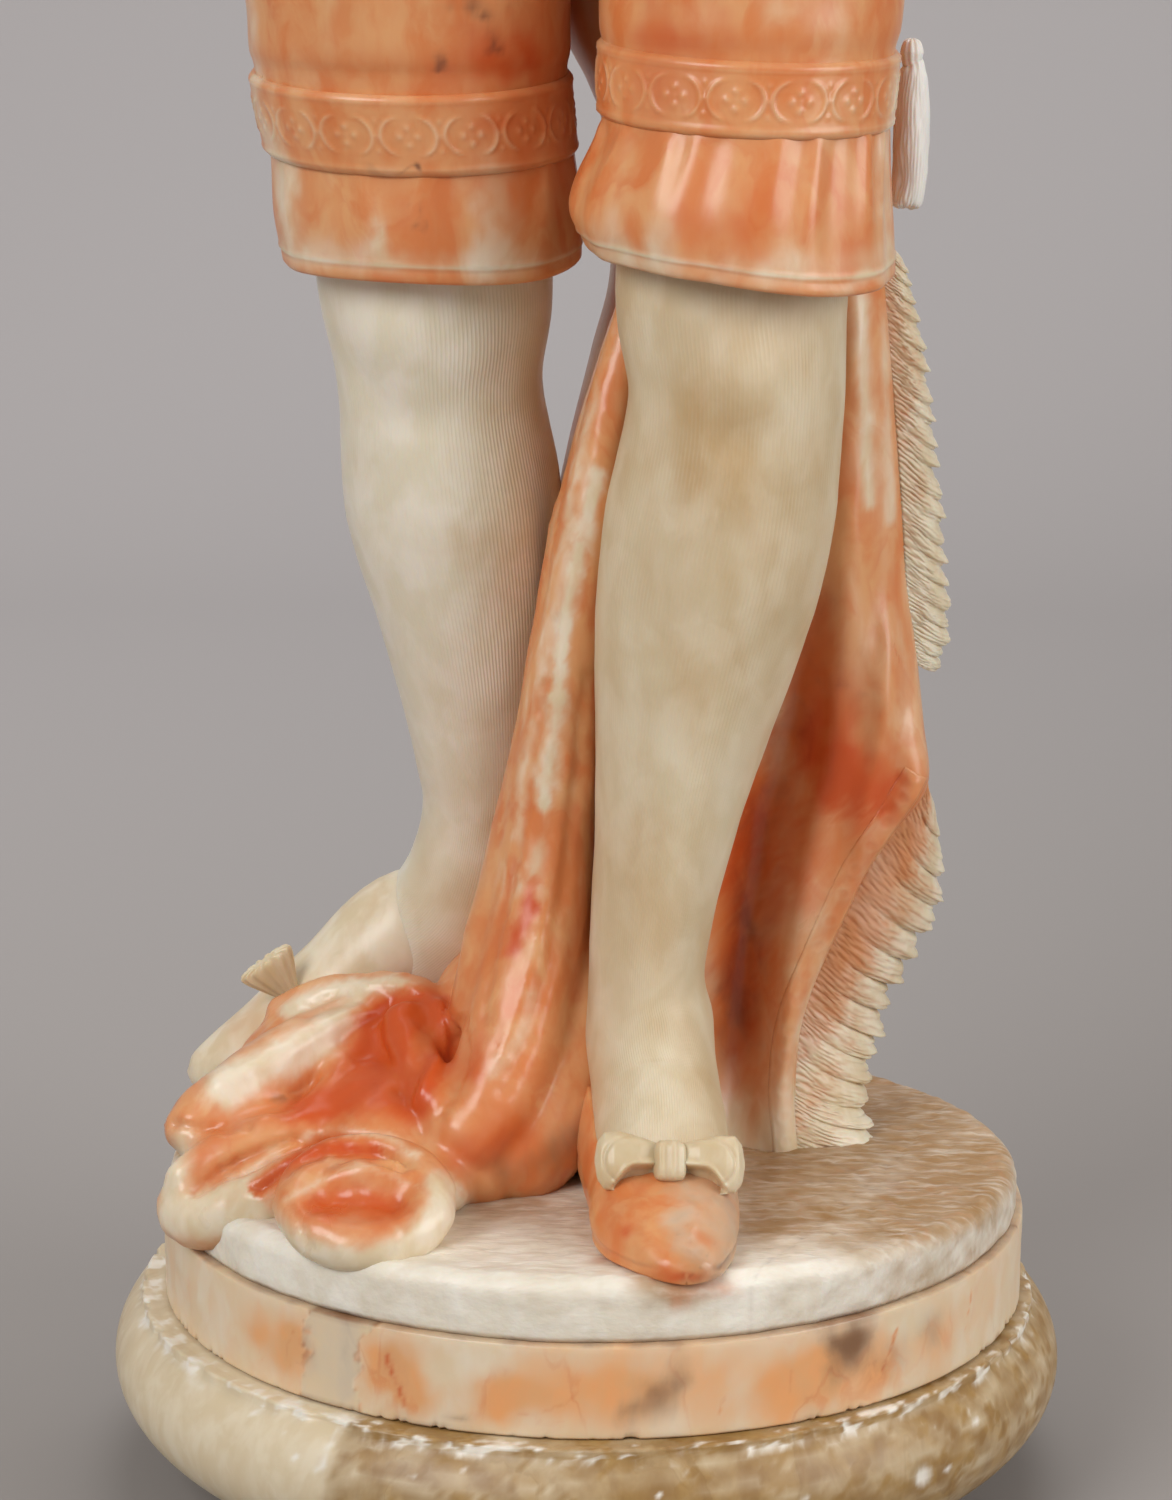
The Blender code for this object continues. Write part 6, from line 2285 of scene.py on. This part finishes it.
def build_trunk(cloth: Material, pale: Material) -> None:
    """The seat of the breeches, the sash, the jacket, and the shirt at the waist.

    Args:
        cloth: the jacket's and breeches' finish.
        pale: the shirt's.
    """
    Garment("breeches_seat", cloth, ((-.008, .004, .598, .03, .04), (-.008, .003, .612, .074, .062),
        (-.009, .002, .645, .108, .078), (-.007, .002, .69, .1085, .079), (-.005, 0.0, .735, .094, .07),
        (-.004, -.001, .76, .086, .064)), ((-.01, -.07, .64, .01, .03, -.002),
        (-.06, -.06, .655, .02, .008, .0014), (.05, -.06, .66, .02, .008, .0014),
        (-.04, -.06, .7, .03, .006, .0012), (.035, -.06, .705, .03, .006, .001),
        (-.008, .08, .66, .008, .04, -.003)), creases=.0016, level=True, rows=66, around=136).build()
    Sash("sash", cloth, ((-.005, 0.0, .728, .094, .07), (-.005, 0.0, .733, .0985, .0735),
        (-.004, -.001, .748, .0985, .0735), (-.003, -.002, .775, .092, .0705),
        (-.003, -.003, .79, .087, .0665), (-.003, -.003, .794, .082, .063)), creases=.0005, level=True,
        rows=70, around=150, stain=.3, seed=205).build()
    JacketBody("jacket", cloth, ((-.003, -.003, .803, .0985, .0735), (-.003, -.003, .812, .1, .0755),
        (-.003, -.004, .83, .1015, .077), (-.002, -.004, .88, .1085, .079), (-.002, -.002, .93, .115, .077),
        (-.003, .002, .964, .109, .068), (-.004, .004, .986, .09, .056), (-.004, .004, 1.0, .066, .047),
        (-.004, .004, 1.01, .048, .042), (-.005, .003, 1.018, .036, .035)),
        ((-.055, -.07, .88, .018, .03, .002), (.045, -.07, .885, .018, .03, .0018),
        (-.08, -.05, .845, .02, .008, .0022), (.07, -.05, .85, .02, .008, .002),
        (-.045, -.06, .935, .03, .01, .0016), (.045, -.06, .94, .03, .01, .0016),
        (-.04, .07, .9, .03, .04, .002), (-.002, .07, .87, .006, .06, -.003)), creases=.002, crease_size=.045,
        level=True, rows=110, around=216, seed=207).build()
    Garment("waist", pale, ((-.003, -.003, .78, .08, .062), (-.003, -.003, .795, .0845, .065),
        (-.003, -.003, .812, .088, .067), (-.003, -.003, .83, .086, .065)), creases=.0009, crease_size=.02,
        level=True, rows=24, around=90, stain=.08).build()


def build_arms(cloth: Material, pale: Material) -> None:
    """The sleeves, from the shoulder to the wrist, with their cuffs and hands. Both sleeves crease alike.

    Args:
        cloth: the sleeves' finish.
        pale: the cuffs' and hands'.
    """
    left = ((-.066, .003, .96, .03, .034), (-.096, .004, .966, .033, .04), (-.128, .007, .947, .0385, .041),
        (-.16, .018, .9, .035, .037), (-.176, .027, .846, .031, .033), (-.17, .014, .806, .03, .03),
        (-.142, -.014, .776, .026, .0255), (-.124, -.029, .762, .0225, .0215))
    right = ((.062, .003, .96, .03, .034), (.091, .004, .965, .033, .04), (.119, .006, .945, .0385, .041),
        (.142, .008, .896, .035, .037), (.147, 0.0, .842, .0315, .0325), (.134, -.034, .816, .029, .0285),
        (.1, -.07, .834, .0245, .0245), (.082, -.082, .849, .0215, .0205))
    sleeve = dict(creases=.002, crease_size=.035, rows=104, around=100, seed=213)
    Garment("sleeve_left", cloth, left, ((-.165, .012, .846, .018, .005, .0026),
        (-.168, 0.0, .826, .018, .005, .0024), (-.17, -.006, .808, .018, .005, .0026),
        (-.15, -.02, .8, .01, .01, -.002), (-.15, .01, .92, .014, .012, .0016),
        (-.125, -.02, .955, .01, .02, .0016)), side=(0, 1, .2), **sleeve).build()
    Garment("sleeve_right", cloth, right, ((.135, -.022, .85, .016, .005, .0026),
        (.13, -.034, .838, .016, .005, .0022), (.145, -.01, .866, .018, .005, .0024),
        (.11, -.05, .84, .012, .008, .0018), (.14, -.01, .92, .014, .012, .0016),
        (.115, -.02, .955, .01, .02, .0016)), side=(.7, -.7, .1), **sleeve).build()
    Frill("cuff_left", pale, ((-.136, -.019, .772, .0235, .0225), (-.126, -.027, .764, .024, .023),
        (-.114, -.036, .754, .0275, .0265)), 11, .0017, (0, 1, .2)).build()
    Frill("cuff_right", pale, ((.094, -.075, .839, .023, .022), (.084, -.081, .848, .0235, .0225),
        (.072, -.088, .858, .0265, .0255)), 11, .0017, (0, .3, 1)).build()
    Hand("hand_left", pale, (-.117, -.035, .756), (.74, -.42, -.52), (.4, .86, .1), (.3, -.25, .62)).build()
    Hand("hand_right", pale, (.075, -.087, .856), (-.72, -.1, .68), (-.1, .95, .1), (.6, 0.0, .7)).build()


def build_neck(cloth: Material, pale: Material) -> None:
    """The jacket's buttons and collar, the cravat and the neck.

    Args:
        cloth: the collar's finish.
        pale: the buttons', cravat's and neck's.
    """
    build_buttons(pale, [(-.014, -.0825 + .0016 * step, .85 + .0215 * step, 0.0) for step in range(5)],
        "jacket_buttons")
    Garment("jacket_collar", cloth, ((-.004, .006, .996, .064, .05), (-.004, .006, 1.004, .062, .0505),
                                 (-.005, .006, 1.014, .053, .047), (-.006, .006, 1.026, .049, .045),
                                 (-.006, .006, 1.03, .045, .042)), creases=.0005, level=True, rows=26,
        around=110, seed=217).build()
    build_cravat(pale)
    Garment("neck", pale, ((-.005, .003, 1.01, .036, .036), (-.006, 0.0, 1.035, .033, .0345),
        (-.008, -.001, 1.055, .0318, .0335), (-.01, .001, 1.075, .0318, .0345),
        (-.011, .004, 1.098, .033, .037), (-.011, .004, 1.11, .03, .032)),
        ((-.024, -.026, 1.06, .008, .03, .0016), (.01, -.026, 1.06, .008, .03, .0016),
        (-.007, -.035, 1.065, .006, .01, .0012)), creases=.0002, level=True, rows=40, around=80,
        stain=.07).build()


def build_upper_half(finish: Finishes) -> None:
    """Build what stands above the thighs, from the hips to the hair, and the shoulder cape.

    Args:
        finish: every finish.
    """
    cloth, pale = finish.cloth, finish.ribbon
    build_trunk(cloth, pale)
    build_arms(cloth, pale)
    build_neck(cloth, pale)
    crown = SEAM_Z + GROUND_MID + STATURE
    Face(pale, crown).build()
    Hair(cloth, pale, crown).build()
    ShoulderCape("cape_shoulder", cloth,
        ((.085, .055, .975, .034, .014), (.098, .02, 1.004, .034, .013), (.1, -.03, .998, .032, .013),
         (.088, -.066, .95, .028, .013), (.062, -.086, .89, .018, .012), (.05, -.084, .8, .02, .01),
         (.052, -.078, .74, .016, .008)), creases=.001, rows=100, around=90, seed=219).build()


# ---------------------------------------------------------------- stage


@dataclass
class Studio:
    """A pale sweep of floor and backdrop, soft lamps and the camera."""

    camera_place: tuple[float, float, float] = (-.0039, -1.4806, SEAM_Z + .5245)
    pitch: float = 13.51
    roll: float = .39
    lens: float = 100.0
    film_height: float = 36.0
    sweep_start: float = 1.6
    sweep_radius: float = 1.2
    sweep_height: float = 3.0
    half_width: float = 4.0
    seen_rows: int = 16

    def build(self) -> None:
        """Make the sweep, the lamps and the camera."""
        self.build_sweep()
        self.build_lamps()
        self.build_camera()

    def build_sweep(self) -> None:
        """The sweep's profile is flat, then a quarter circle, then upright.

        Its upper part only returns light, unseen by the camera, so the object can also be viewed from behind.
        """
        turn = np.linspace(0, math.pi / 2, 25)
        y = np.concatenate([[-3.0], self.sweep_start + self.sweep_radius * np.sin(turn)])
        z = np.concatenate([[0.0], self.sweep_radius * (1 - np.cos(turn))])
        y, z = np.append(y, y[-1]), np.append(z, self.sweep_height)
        seen = self.seen_rows
        paint = self.backdrop_painted_light()
        self.strip("floor_sweep", y[:seen], z[:seen], paint)
        self.strip("bounce_card", y[seen - 1:], z[seen - 1:], paint).visible_camera = False

    def strip(self, name: str, y: Array, z: Array, paint: Material) -> Piece:
        """Carry a profile across the width of the stage.

        Args:
            name: the sheet's name.
            y: the profile's distances back.
            z: its heights.
            paint: the finish.

        Returns:
            The sheet.
        """
        x = np.array([-self.half_width, self.half_width])
        points = np.stack([np.tile(x, len(y)), np.repeat(y, 2), np.repeat(z, 2)], -1)
        row = np.arange(len(y) - 1) * 2
        sheet = new_mesh(name, points, np.stack([row, row + 1, row + 3, row + 2], -1), np.zeros((0, 3), int))
        sheet.data.materials.append(paint)
        return sheet

    def backdrop_painted_light(self) -> Material:
        """Matt grey with painted light: it grows lighter towards the far left.

        Returns:
            The material.
        """
        material = bpy.data.materials.new("backdrop_with_painted_light")
        material.use_nodes = True
        tree = material.node_tree
        shader = tree.nodes["Principled BSDF"]
        x, y, _ = add(tree, "SeparateXYZ", (add(tree, "TexCoord", output="Object"),)).node.outputs
        # Painted light: the grey lightens towards the back and the left.
        far = add(tree, "Math", (x, -.6, y), operation="MULTIPLY_ADD")
        painted_falloff = add(tree, "Mix", {0: add(tree, "MapRange", (far, -.2, 2.5), **SMOOTH),
            6: hex_linear("#95908D"), 7: hex_linear("#C5C1C2")}, 2, **COLOUR)
        tree.links.new(painted_falloff, shader.inputs["Base Color"])
        shader.inputs["Roughness"].default_value = .9
        return material

    def build_lamps(self) -> None:
        """A broad key from the upper left, a weaker fill from the right, and a top light behind."""
        aim = Vector((0, 0, .35))
        for name, place, size, power in (("key", (-1.5, -1.9, 1.9), 1.6, 46),
                ("fill", (2.1, -1.1, 1.3), 1.8, 34), ("top", (.2, .6, 2.4), 1.5, 20)):
            lamp = bpy.data.lights.new(name, "AREA")
            lamp.shape = "DISK"
            lamp.size = size
            lamp.energy = power
            made = bpy.data.objects.new(name, lamp)
            made.location = place
            made.rotation_euler = (aim - Vector(place)).to_track_quat("-Z", "Y").to_euler()
            bpy.context.scene.collection.objects.link(made)
        world = bpy.data.worlds.new("studio_air")
        world.use_nodes = True
        world.node_tree.nodes["Background"].inputs["Color"].default_value = hex_linear("#DAD5CF")
        world.node_tree.nodes["Background"].inputs["Strength"].default_value = .45
        bpy.context.scene.world = world
        bpy.context.scene.view_settings.view_transform = "Standard"

    def build_camera(self) -> None:
        """The camera looks along +Y, pitched down, with a slight roll."""
        lens = bpy.data.cameras.new("camera")
        lens.sensor_fit = "VERTICAL"
        lens.sensor_height = self.film_height
        lens.lens = self.lens
        lens.clip_end = 50.0
        camera = bpy.data.objects.new("camera", lens)
        pitch, roll = math.radians(self.pitch), math.radians(self.roll)
        forward = Vector((0, math.cos(pitch), -math.sin(pitch)))
        level, rise = Vector((1, 0, 0)), Vector((0, math.sin(pitch), math.cos(pitch)))
        right = level * math.cos(roll) + rise * math.sin(roll)
        up = rise * math.cos(roll) - level * math.sin(roll)
        camera.rotation_euler = Matrix((right, up, -forward)).transposed().to_euler()
        camera.location = self.camera_place
        bpy.context.scene.collection.objects.link(camera)
        bpy.context.scene.camera = camera


def main() -> None:
    """Build the object piece by piece."""
    logging.basicConfig(level=logging.INFO, format="%(name)s: %(message)s")
    Studio().build()
    finish = Finishes.make()
    RoughGround(finish.ground).build()
    PlinthDisc(finish.disc).build()
    Moulding(finish.onyx).build()
    build_lower_half(finish)
    build_cape(finish)
    build_upper_half(finish)


if __name__ == "__main__":
    main()
